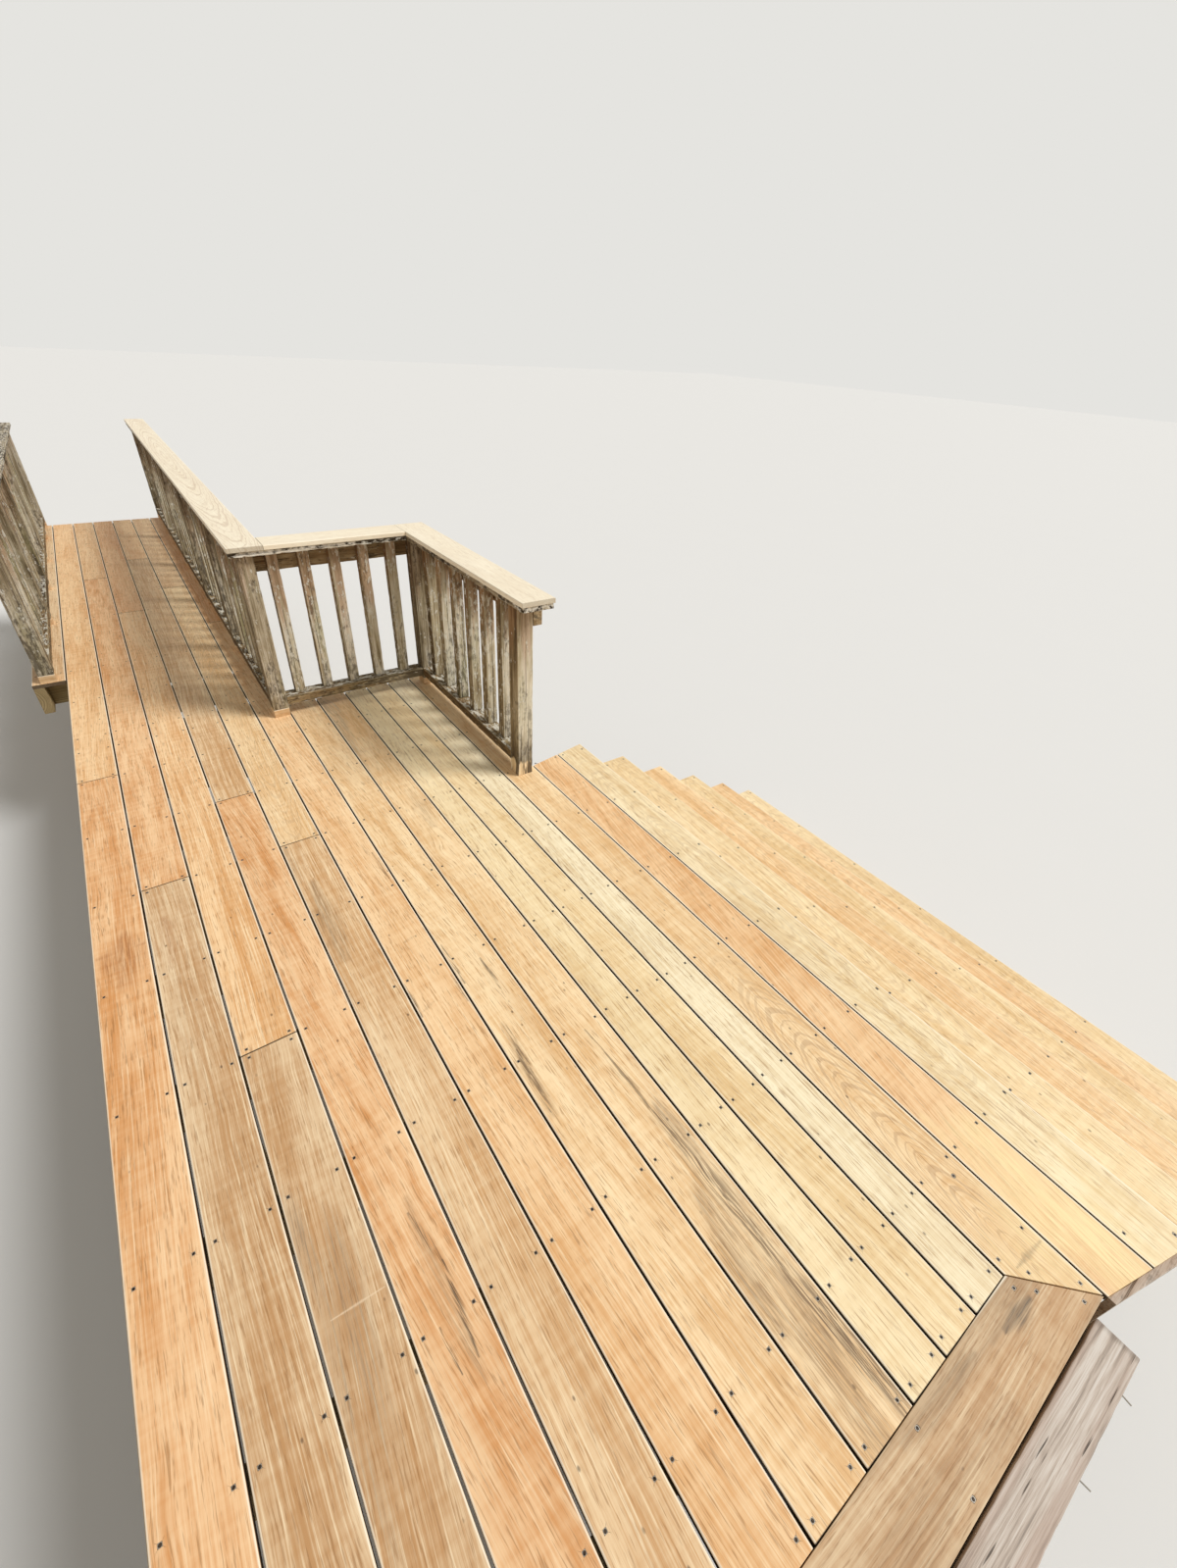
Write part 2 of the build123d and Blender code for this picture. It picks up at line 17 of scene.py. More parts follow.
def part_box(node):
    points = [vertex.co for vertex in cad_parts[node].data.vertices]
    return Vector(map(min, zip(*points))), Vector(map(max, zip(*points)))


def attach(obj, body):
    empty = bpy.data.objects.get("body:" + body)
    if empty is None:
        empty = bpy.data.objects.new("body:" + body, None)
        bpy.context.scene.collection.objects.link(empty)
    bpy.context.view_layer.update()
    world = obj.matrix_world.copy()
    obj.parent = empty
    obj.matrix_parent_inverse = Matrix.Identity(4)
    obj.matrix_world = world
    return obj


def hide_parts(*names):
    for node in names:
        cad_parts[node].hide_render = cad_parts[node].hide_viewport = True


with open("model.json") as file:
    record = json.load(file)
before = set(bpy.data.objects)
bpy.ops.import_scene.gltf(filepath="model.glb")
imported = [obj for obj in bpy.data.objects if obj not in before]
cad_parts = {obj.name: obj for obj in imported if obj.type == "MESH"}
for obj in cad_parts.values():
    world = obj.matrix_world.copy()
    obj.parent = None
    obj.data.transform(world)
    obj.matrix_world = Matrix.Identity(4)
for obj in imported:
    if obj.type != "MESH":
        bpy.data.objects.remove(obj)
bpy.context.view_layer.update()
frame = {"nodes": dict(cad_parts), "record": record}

LOG = logging.getLogger("deck")
SEED = 1947

# The deck's own lines in the frame, some given and some read from the imported nodes
WALL_GAP = 0.0075
WALKWAY_REACH = 7.392
NEAR_BACK = 0.131
NEAR_SKEW = 0.018
DECK_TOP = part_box("walkway_boards")[1].z
CAP_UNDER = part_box("walkway_old_cap")[0].z
WALL_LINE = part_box("cross_board")[0].x - WALL_GAP
HOUSE_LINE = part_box("walkway_boards")[1].y - WALKWAY_REACH
MITRE_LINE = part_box("mitred_frame_board")[0].x

SLOT_OF = {part["node"]: part["material_slot"] for part in frame["record"]["subparts"]}

# What a worked timber writes on its corners and its finish reads
ATTRIBUTES = ("place", "half", "tone", "figure", "heart", "sweep", "gaps", "cuts")

Stops = tuple[tuple[float, str], ...]
Scale = float | tuple[float, float]


def deck_point(across: float, along: float, up: float = 0.0) -> Vector:
    """A point from the wall line, along the boards from the house line and above them."""
    return Vector((WALL_LINE + across, HOUSE_LINE + along, DECK_TOP + up))


def near_end(x: float) -> float:
    """Where the boards' slanted near end lies at x."""
    return HOUSE_LINE - NEAR_BACK + NEAR_SKEW * (x - MITRE_LINE)


def paint(code: str) -> tuple[float, float, float, float]:
    """A colour written as six hex digits, as the linear values a shader takes.

    Args:
        code: Six hex digits, red first.

    Returns:
        Red, green, blue and an alpha of 1.
    """
    values = []
    for place in (0, 2, 4):
        share = int(code[place:place + 2], 16) / 255
        values.append(share / 12.92 if share <= 0.04045 else ((share + 0.055) / 1.055) ** 2.4)
    return values[0], values[1], values[2], 1.0


class Tone(Enum):
    """Where a board lies on the palette of the new timber."""

    GREY = 0.0
    DUSK = 1 / 6
    AMBER = 2 / 6
    HONEY = 3 / 6
    SAND = 4 / 6
    STRAW = 5 / 6
    FLAX = 5.2 / 6
    CREAM = 1.0


class MarkKind(Enum):
    """A mark's colour, its even share, and where its hairs begin and are full."""

    STREAK = ("4F3F2F", 0.0, 0.44, 0.56)
    SMUDGE = ("8E7458", 0.3, 0.4, 0.62)
    STAIN = ("9E6234", 0.25, 0.42, 0.6)
    SCRATCH = ("FBE6C6", 0.7, 0.3, 0.5)
    PALE = ("FDE7B2", 0.45, 0.4, 0.62)
    BRUISE = ("62574A", 0.55, 0.42, 0.6)

    @property
    def crisp(self) -> bool:
        """Whether its edge is frayed finely."""
        return self in (MarkKind.STREAK, MarkKind.SCRATCH, MarkKind.BRUISE)


class Figure(Enum):
    """How lively a board is: ribbons, blotches and mineral streaks."""

    SMOOTH = (0.2, 0.3, 0.0)
    FINE = (0.5, 0.35, 0.03)
    RIBBON = (1.0, 0.3, 0.08)
    BLOTCHY = (0.4, 1.0, 0.08)
    MINERAL = (0.6, 0.7, 1.0)


@dataclass(frozen=True)
class Look:
    """Tone and figure of one board, and which of its edges face a gap and get painted shade.

    Attributes:
        tone: Where it lies on the palette.
        figure: How lively it is.
        slope: How far its grain runs across the board per metre.
        curl: How strongly its grain curls at small knots.
        eye: Where its flame's eye lies, in metres along the boards.
        steep: How steeply the rings dive away from the eye.
        flame: How strong the flame is.
        low_gap: 1 where the edge on the low side faces a gap and gets painted shade.
        high_gap: 1 where the edge on the high side faces a gap and gets painted shade.
        end_gap: 1 where the ends face a joint and get painted shade.
        stop: Where along the boards the gap on the high side ends.
    """

    tone: Tone
    figure: Figure = Figure.FINE
    slope: float = 0.01
    curl: float = 0.3
    eye: float = 0.0
    steep: float = 0.08
    flame: float = 0.0
    low_gap: float = 1.0
    high_gap: float = 1.0
    end_gap: float = 1.0
    stop: float = 99.0


PLAIN_LOOK = Look(Tone.SAND, low_gap=0.0, high_gap=0.0, end_gap=0.0)


# Shader writing


def math_node(operation: str, swapped: bool = False) -> Callable[..., "Wire"]:
    """A wire's method that adds one Math node.

    Args:
        operation: What the node does.
        swapped: Whether the other value comes first.

    Returns:
        The method.
    """

    def method(self: "Wire", *others: "Wire | float") -> "Wire":
        """Add the node."""
        values = (*others, self) if swapped else (self, *others)
        return self.bench.add("ShaderNodeMath", {"operation": operation}, dict(enumerate(values)))

    return method


class Wire:
    """One shader output: arithmetic adds Math nodes, methods add what reads it."""

    __add__, __radd__ = math_node("ADD"), math_node("ADD", True)
    __sub__, __rsub__ = math_node("SUBTRACT"), math_node("SUBTRACT", True)
    __mul__, __rmul__ = math_node("MULTIPLY"), math_node("MULTIPLY", True)
    __truediv__, __rtruediv__ = math_node("DIVIDE"), math_node("DIVIDE", True)
    __pow__, __abs__ = math_node("POWER"), math_node("ABSOLUTE")
    least, most = math_node("MINIMUM"), math_node("MAXIMUM")

    def __init__(self, bench: "Bench", socket: bpy.types.NodeSocket) -> None:
        """Keep the bench and the output it wraps."""
        self.bench = bench
        self.socket = socket

    def swing(self, reach: "Wire | float") -> "Wire":
        """Noise around one half, as noise around zero that reaches so far."""
        return (self - 0.5) * reach

    def rise(self, low: float, high: float) -> "Wire":
        """Smooth step.

        Args:
            low: Value that gives 0.
            high: Value that gives 1; below low, the step falls instead.

        Returns:
            A value from 0 to 1.
        """
        if low > high:
            return 1.0 - self.rise(high, low)
        return self.bench.add(
            "ShaderNodeMapRange",
            {"interpolation_type": "SMOOTHSTEP"},
            {"Value": self, "From Min": low, "From Max": high, "To Min": 0.0, "To Max": 1.0},
        )

    def parts(self) -> list["Wire"]:
        """The three parts of a vector."""
        node = self.bench.add("ShaderNodeSeparateXYZ", None, {0: self}).socket.node
        return [Wire(self.bench, output) for output in node.outputs]

    def vector(self, operation: str, other: Any, output: int | str = 0) -> "Wire":
        """One step of vector arithmetic with another vector."""
        inputs = {0: self, 1: other}
        return self.bench.add("ShaderNodeVectorMath", {"operation": operation}, inputs, output)

    def _scaled(self, scale: Scale) -> tuple["Wire", float]:
        """Where and at what scale a texture is read.

        Args:
            scale: Features per metre, or a pair of them along and across the grain.

        Returns:
            The point, which takes up a pair, and the scale that is left.
        """
        if isinstance(scale, tuple):
            return self.vector("MULTIPLY", (scale[0], scale[1], scale[1])), 1.0
        return self, scale

    def cloud(
        self, scale: Scale, detail: float = 2.0, rough: float = 0.5, bend: float = 0.0
    ) -> "Wire":
        """Noise around one half.

        Args:
            scale: Features per metre, or a pair of them along and across the grain.
            detail: Octaves.
            rough: Strength of the fine octaves.
            bend: Distortion.

        Returns:
            The noise value.
        """
        point, left = self._scaled(scale)
        inputs = {"Vector": point, "Scale": left, "Detail": detail, "Roughness": rough}
        inputs["Distortion"] = bend
        return self.bench.add("ShaderNodeTexNoise", {"noise_dimensions": "3D"}, inputs)

    def line_noise(self, detail: float = 2.0) -> "Wire":
        """Noise along one number."""
        inputs = {"W": self, "Scale": 1.0, "Detail": detail, "Roughness": 0.5}
        return self.bench.add("ShaderNodeTexNoise", {"noise_dimensions": "1D"}, inputs)

    def specks(self, scale: Scale) -> "Wire":
        """Distance to the nearest of scattered points.

        Args:
            scale: Points per metre, or a pair of them along and across the grain.

        Returns:
            The distance.
        """
        point, left = self._scaled(scale)
        return self.bench.add(
            "ShaderNodeTexVoronoi",
            {"feature": "F1", "voronoi_dimensions": "3D"},
            {"Vector": point, "Scale": left, "Randomness": 1.0},
        )

    def ramp(self, stops: Stops) -> "Wire":
        """Its colour on a ramp."""
        return self.bench.add("ShaderNodeValToRGB", {"stops": stops}, {"Fac": self})

    def under(self, share: "Wire | float", colour: "Wire | str", blend: str = "MIX") -> "Wire":
        """This colour with a share of another laid on it."""
        return self.bench.mix(share, self, colour, blend)


class Bench:
    """Adds nodes to one material's or world's tree."""

    def __init__(self, tree: bpy.types.NodeTree) -> None:
        """Start with an empty tree."""
        self.tree = tree
        self.tree.nodes.clear()

    def add(
        self,
        kind: str,
        settings: dict[str, Any] | None = None,
        inputs: dict[int | str, Any] | None = None,
        output: int | str = 0,
    ) -> Wire:
        """Add a node of any type.

        Args:
            kind: The node's type.
            settings: Its properties, set first; "stops" fills a colour ramp.
            inputs: Values or wires of its inputs.
            output: The output to hand back.

        Returns:
            That output as a wire.
        """
        node = self.tree.nodes.new(kind)
        for name, value in (settings or {}).items():
            if name == "stops":
                self._fill_ramp(node, value)
            else:
                setattr(node, name, value)
        for name, value in (inputs or {}).items():
            if isinstance(value, Wire):
                self.tree.links.new(value.socket, node.inputs[name])
            else:
                node.inputs[name].default_value = value
        return Wire(self, node.outputs[output] if node.outputs else None)

    @staticmethod
    def _fill_ramp(node: bpy.types.Node, stops: Stops) -> None:
        """Write a ramp's stops.

        Args:
            node: The ramp's node.
            stops: Positions with hex colours.
        """
        elements = node.color_ramp.elements
        while len(elements) < len(stops):
            elements.new(0.5)
        for element, (position, code) in zip(elements, stops):
            element.position = position
            element.color = paint(code)

    def mix(
        self, share: Wire | float, low: Wire | str, high: Wire | str, blend: str = "MIX"
    ) -> Wire:
        """Blend two colours, each a wire or hex digits.

        Args:
            share: 0 for the first colour, 1 for the second.
            low: First colour.
            high: Second colour.
            blend: How the second lies on the first.

        Returns:
            The blended colour.
        """
        first, second = (side if isinstance(side, Wire) else paint(side) for side in (low, high))
        settings = {"data_type": "RGBA", "blend_type": blend, "clamp_factor": True}
        return self.add("ShaderNodeMix", settings, {0: share, 6: first, 7: second}, 2)

    def finish(
        self,
        colour: Wire,
        roughness: Wire | float,
        height: Wire | None = None,
        depth: float = 0.0005,
        strength: float = 0.6,
        gleam: float = 0.5,
        metal: float = 0.0,
    ) -> None:
        """End a surface tree in a Principled shader.

        Args:
            colour: Base colour.
            roughness: Roughness.
            height: Bump height from 0 to 1.
            depth: Metres that a height of 1 stands for.
            strength: Strength of the bump.
            gleam: How strongly a bare surface reflects.
            metal: How metallic it is.
        """
        inputs = {"Base Color": colour, "Roughness": roughness, "Metallic": metal}
        inputs["Specular IOR Level"] = gleam
        if height is not None:
            bump = {"Strength": strength, "Distance": depth, "Height": height}
            inputs["Normal"] = self.add("ShaderNodeBump", None, bump)
        shader = self.add("ShaderNodeBsdfPrincipled", None, inputs)
        self.add("ShaderNodeOutputMaterial", None, {"Surface": shader})


class TimberMarks:
    """What every timber finish reads from its piece.

    The attributes are written when a timber is worked: its place from its own
    centre, half its size, three numbers drawn for it, and its look.
    """

    def __init__(self, bench: Bench) -> None:
        """Add the nodes that read them.

        Args:
            bench: The material's bench.
        """
        place, half, tone, self.figure, self.heart, self.sweep, self.gaps, self.cuts = (
            bench.add("ShaderNodeAttribute", {"attribute_name": name}, None, "Vector")
            for name in ATTRIBUTES
        )
        self.along, self.across, self.depth = place.parts()
        half_along, half_across, half_depth = half.parts()
        self.hue, self.kind, self.luck = tone.parts()
        salt = {0: self.luck * 13.0 + self.kind * 5.0, 1: self.kind * 3.0, 2: self.hue * 2.0}
        self.grain = place.vector("ADD", bench.add("ShaderNodeCombineXYZ", None, salt))
        self.side = half_across - abs(self.across)
        self.face = half_depth - self.depth
        self.end = half_along - abs(self.along)
        self.arris = self.side.most(half_depth - abs(self.depth))
        self.world = bench.add("ShaderNodeTexCoord", None, None, "Object")
        _, self.world_y, self.world_z = self.world.parts()
        normal = bench.add("ShaderNodeNewGeometry", None, None, "Normal")
        normal_x, normal_y, self.up = normal.parts()
        self.inward = 0.0 - normal_x
        self.outward = 0.0 - normal_y


# Finishes


@dataclass(frozen=True)
class Mark:
    """A streak, a smudge, a stain or a pale band between two points on the boards.

    Attributes:
        start: Its one end, across and along the deck.
        end: Its other end.
        width: Half its width, in metres.
        strength: How strongly it shows.
        kind: Its colour and how it frays.
    """

    start: tuple[float, float]
    end: tuple[float, float]
    width: float
    strength: float
    kind: MarkKind

    def mask(self, where: Wire, fray: Wire) -> Wire:
        """How far a point lies in it.

        Args:
            where: The point.
            fray: Noise that frays its edge.

        Returns:
            0 outside, its strength inside.
        """
        start = deck_point(*self.start)
        run = deck_point(*self.end) - start
        arm = where.vector("SUBTRACT", tuple(start))
        share = arm.vector("DOT_PRODUCT", tuple(run / run.length_squared), "Value")
        share = share.most(0.0).least(1.0)
        inputs = {0: tuple(run), "Scale": share}
        foot = where.bench.add("ShaderNodeVectorMath", {"operation": "SCALE"}, inputs)
        away = arm.vector("DISTANCE", foot, "Value") / self.width
        thin = 1.0 - abs(share - 0.5) * 1.2
        low, high = (1.5, 0.0) if self.kind.crisp else (1.7, -0.5)
        return (away / thin + fray.swing(3.5)).rise(low, high) * self.strength


def marks_from(table: dict[MarkKind, tuple[tuple[float, ...], ...]]) -> tuple[Mark, ...]:
    """Marks from rows of both ends, half the width and the strength."""
    rows = [(row, kind) for kind, found in table.items() for row in found]
    return tuple(Mark(row[:2], row[2:4], *row[4:], kind) for row, kind in rows)


BOARD_MARKS = marks_from(
    {
        MarkKind.STREAK: (
            (1.096, 0.83, 1.112, 0.5, 0.011, 0.65),
            (1.112, 0.55, 1.13, 0.1, 0.021, 0.75),
            (1.13, 0.15, 1.148, -0.16, 0.028, 0.85),
            (0.536, 0.37, 0.543, 0.55, 0.006, 0.9),
            (0.543, 0.54, 0.518, 0.67, 0.007, 0.7),
            (0.5, 0.365, 0.494, 0.45, 0.006, 0.8),
            (0.736, 1.11, 0.736, 1.24, 0.007, 0.9),
            (0.866, 1.09, 0.866, 1.2, 0.006, 0.8),
            (0.858, 1.69, 0.857, 1.85, 0.008, 0.8),
            (0.897, 0.69, 0.908, 0.88, 0.011, 0.75),
            (0.912, 0.8, 0.919, 0.96, 0.008, 0.7),
            (0.965, 1.08, 0.966, 1.21, 0.009, 0.75),
            (0.886, 1.15, 0.888, 1.32, 0.006, 0.7),
            (1.69, -0.08, 1.74, 0.09, 0.006, 0.45),
            (1.675, -0.02, 1.735, 0.16, 0.005, 0.4),
        ),
        MarkKind.SMUDGE: (
            (1.07, -0.16, 1.085, 0.34, 0.07, 0.8),
            (1.135, -0.16, 1.12, 0.55, 0.045, 0.75),
            (1.11, 1.88, 1.12, 2.15, 0.035, 0.35),
            (0.53, 0.34, 0.525, 0.7, 0.022, 0.45),
            (0.62, 1.42, 0.63, 1.8, 0.04, 0.75),
            (0.6, 1.82, 0.6, 2.04, 0.02, 0.6),
            (0.9, 0.68, 0.915, 0.97, 0.02, 0.5),
            (0.745, 1.125, 0.785, 1.14, 0.008, 0.5),
            (0.795, 1.39, 0.84, 1.4, 0.009, 0.55),
        ),
        MarkKind.STAIN: (
            (0.08, 1.66, 0.09, 1.86, 0.055, 0.7),
            (0.19, 1.66, 0.2, 1.88, 0.03, 0.6),
            (0.02, 1.8, 0.14, 1.8, 0.02, 0.6),
        ),
        MarkKind.SCRATCH: ((0.326, 0.577, 0.43, 0.572, 0.003, 0.45),),
        MarkKind.PALE: (
            (1.73, -0.35, 1.73, 0.06, 0.16, 1.15),
            (1.675, 0.0, 1.68, 0.16, 0.03, 0.6),
        ),
        MarkKind.BRUISE: ((1.647, -0.146, 1.55, -0.141, 0.007, 0.4),),
    }
)
CROSS_MARKS = marks_from(
    {
        MarkKind.SMUDGE: (
            (1.52, -0.182, 1.38, -0.178, 0.03, 0.7),
            (1.33, -0.163, 1.1, -0.16, 0.022, 0.75),
            (1.3, -0.24, 0.7, -0.235, 0.07, 0.4),
        ),
        MarkKind.BRUISE: (
            (1.647, -0.146, 1.55, -0.141, 0.007, 0.4),
            (1.515, -0.183, 1.42, -0.181, 0.015, 0.9),
        ),
    }
)


@dataclass(frozen=True)
class Finish:
    """A finish with a material of its own."""

    name: str = "finish"

    def dress(self) -> bpy.types.Material:
        """Make the material.

        Returns:
            The finished material.
        """
        material = bpy.data.materials.new(self.name)
        material.use_nodes = True
        self.write(Bench(material.node_tree))
        return material

    def write(self, bench: Bench) -> None:
        """Write the finish on its material's bench."""
        raise NotImplementedError


@dataclass(frozen=True)
class PlanedHardwood(Finish):
    """New hardwood with swept grain, ribbons, flames, mineral streaks and pores."""

    name: str = "planed_hardwood"
    tones: Stops = (
        (0.0, "D8B286"),
        (1 / 6, "E4BD8D"),
        (2 / 6, "F0B67A"),
        (3 / 6, "F6C78F"),
        (4 / 6, "FDDBA9"),
        (5 / 6, "FEE9BA"),
        (1.0, "FEF5D6"),
    )
    shade: str = "E3D4C2"
    liveliness: float = 1.0
    gloss: float = 0.55
    marks: tuple[Mark, ...] = ()
    edge_bands: float = 0.0
    flecks: float = 0.75

    def write(self, bench: Bench) -> None:
        """Write the finish.

        Args:
            bench: The material's bench.
        """
        marks = TimberMarks(bench)
        grain = marks.grain
        ribbon_share, blotch_share, mineral_share = marks.figure.parts()
        sway = grain.cloud((0.8, 1.6), 1.0) - 0.5
        flow = self._flow(marks, sway)

        zones = grain.cloud((0.8, 9.0))
        ribbons = flow.cloud((1.4, 95.0), 3.0, 0.6)
        threads = flow.cloud((4.5, 240.0), 3.0, 0.62)
        blotches = flow.cloud((4.0, 20.0), 4.0, 0.65, 0.5)
        ladder = grain.cloud((55.0, 6.0))
        tone = 0.5 + zones.swing(0.6) + ribbons.swing(0.15 + ribbon_share * 0.4)
        tone = tone + threads.swing(0.5 + ribbon_share * 0.35) + ladder.swing(0.25)
        tone = tone + blotches.swing(0.25 + blotch_share * 0.6)
        rings, flame = self._rings(marks, sway)
        tone = tone + rings.swing(flame) * 0.3
        tone = 0.52 + tone.swing(self.liveliness)
        base = marks.hue.ramp(self.tones)
        dark = base.under(1.0, self.shade, "MULTIPLY")
        colour = dark.under(tone.rise(0.24, 0.76), base.under(0.36, "FFF0CE"))
        colour = colour.under(rings.rise(0.5, 0.62) * flame * 0.42, "A87F56")

        mineral = grain.cloud((1.2, 9.0)).rise(0.54, 0.68) * (0.05 + mineral_share)
        colour = colour.under(mineral * 0.3, "AE9273")
        colour = colour.under(mineral * threads.rise(0.5, 0.6) * 0.6, "76604C")
        light = threads.rise(0.56, 0.7) * (0.1 + ribbon_share * 0.4)
        colour = colour.under(light * self.liveliness, "FFECC8")
        pores = flow.cloud((18.0, 290.0), 2.0, 0.6).rise(0.55, 0.68)
        colour = colour.under(pores * (0.5 * self.liveliness), "96693C")
        points = grain.specks((15.0, 26.0)).rise(0.1, 0.04)
        points = points * grain.cloud((2.1, 7.0), 1.0).rise(0.47, 0.57)
        colour = colour.under(points * (0.85 * self.flecks), "3E2C1E")
        if self.edge_bands:
            band = (marks.side + zones.swing(0.16)).rise(0.06, 0.0) * (0.3 + ribbons)
            colour = colour.under(band.most(0.15) * self.edge_bands, "86715A")
        if self.marks:
            colour = self._marked(marks, colour, flow, blotches, ribbons * 0.5 + threads * 0.5)
        colour = self._edged(marks, colour)

        roughness = self.gloss + zones.swing(0.2) + threads.swing(0.15)
        height = threads * 0.5 + ribbons * 0.25 - pores * 0.6 - points
        bench.finish(colour, roughness, height, 0.0005, 0.4, 0.3)

    @staticmethod
    def _flow(marks: TimberMarks, sway: Wire) -> Wire:
        """Where the grain is read: the board's own place, swept and curled.

        Args:
            marks: What is known of the board.
            sway: Slow noise around zero.

        Returns:
            The place on the grain.
        """
        grain = marks.grain
        slope, curl, _ = marks.sweep.parts()
        knots = grain.specks((4.0, 9.0)).rise(0.42, 0.0)
        knots = knots * grain.cloud((1.3, 4.0), 1.0).rise(0.5, 0.6)
        sweep = sway * 0.07 + knots * curl * 0.022 - marks.along * slope
        return grain.vector("ADD", grain.bench.add("ShaderNodeCombineXYZ", None, {1: sweep}))

    @staticmethod
    def _rings(marks: TimberMarks, sway: Wire) -> tuple[Wire, Wire]:
        """Growth rings around the flame's eye.

        Args:
            marks: What is known of the board.
            sway: Slow noise around zero.

        Returns:
            The rings' noise and the flame's strength.
        """
        eye, steep, flame = marks.heart.parts()
        reach = marks.world_y - eye
        heart = reach * steep
        offside = marks.across + sway * 0.03
        radius = (offside * offside + heart * heart) ** 0.5
        radius = radius + marks.grain.cloud((7.0, 20.0)).swing(0.01)
        rings = (radius * 260.0 + marks.luck * 40.0).line_noise(1.5)
        return rings, flame * (abs(reach) * steep).rise(0.19, 0.11)

    def _marked(
        self, marks: TimberMarks, colour: Wire, flow: Wire, soft: Wire, fine: Wire
    ) -> Wire:
        """Lay the single streaks and smudges on the colour.

        Args:
            marks: What is known of the board.
            colour: The colour so far.
            flow: The place on the grain.
            soft: Noise that frays the smudges' edges.
            fine: Noise that frays the streaks' edges.

        Returns:
            The colour with them.
        """
        hairs = flow.cloud((9.0, 260.0), 3.0, 0.65, 0.6)
        for kind in MarkKind:
            fray = fine if kind.crisp else soft
            masks = [mark.mask(marks.world, fray) for mark in self.marks if mark.kind is kind]
            if masks:
                code, even, low, high = kind.value
                share = functools.reduce(Wire.most, masks)
                share = share * (even + hairs.rise(low, high) * (1.0 - even))
                colour = colour.under(share, code)
        return colour

    @staticmethod
    def _edged(marks: TimberMarks, colour: Wire) -> Wire:
        """Paint highlights on the edges and shade in the gaps, joints and screw holes.

        Args:
            marks: What is known of the board.
            colour: The colour so far.

        Returns:
            The colour with its edges.
        """
        # Pale arrises: painted highlight where an edge catches the light.
        pale_edge = marks.arris.rise(0.005, 0.0015) * marks.face.rise(0.002, 0.001)
        colour = colour.under(pale_edge * 0.75, "FFF6E2")
        # Near-black at the bottom of the screw holes: painted shade in the countersink around each
        # head.
        sunk, end_gap, _ = marks.cuts.parts()
        colour = colour.under(sunk * 0.95, "1E140C")
        # Near-black on the sides that face a gap, below the arris: painted shade down in the gaps.
        low_gap, high_gap, stop = marks.gaps.parts()
        short_of = ((stop - marks.world_y) * 1000.0).most(0.0).least(1.0)
        turned = marks.across.rise(-0.001, 0.001)
        gap = low_gap * (1.0 - turned) + high_gap * turned * short_of
        gap = gap * marks.side.rise(0.0014, 0.0004) * marks.face.rise(0.0014, 0.0026)
        colour = colour.under(gap * 0.93, "1E140C")
        # Dark ends where boards meet: painted shade in the joint.
        return colour.under(marks.end.rise(0.0022, 0.0006) * end_gap * 0.85, "2A1C11")


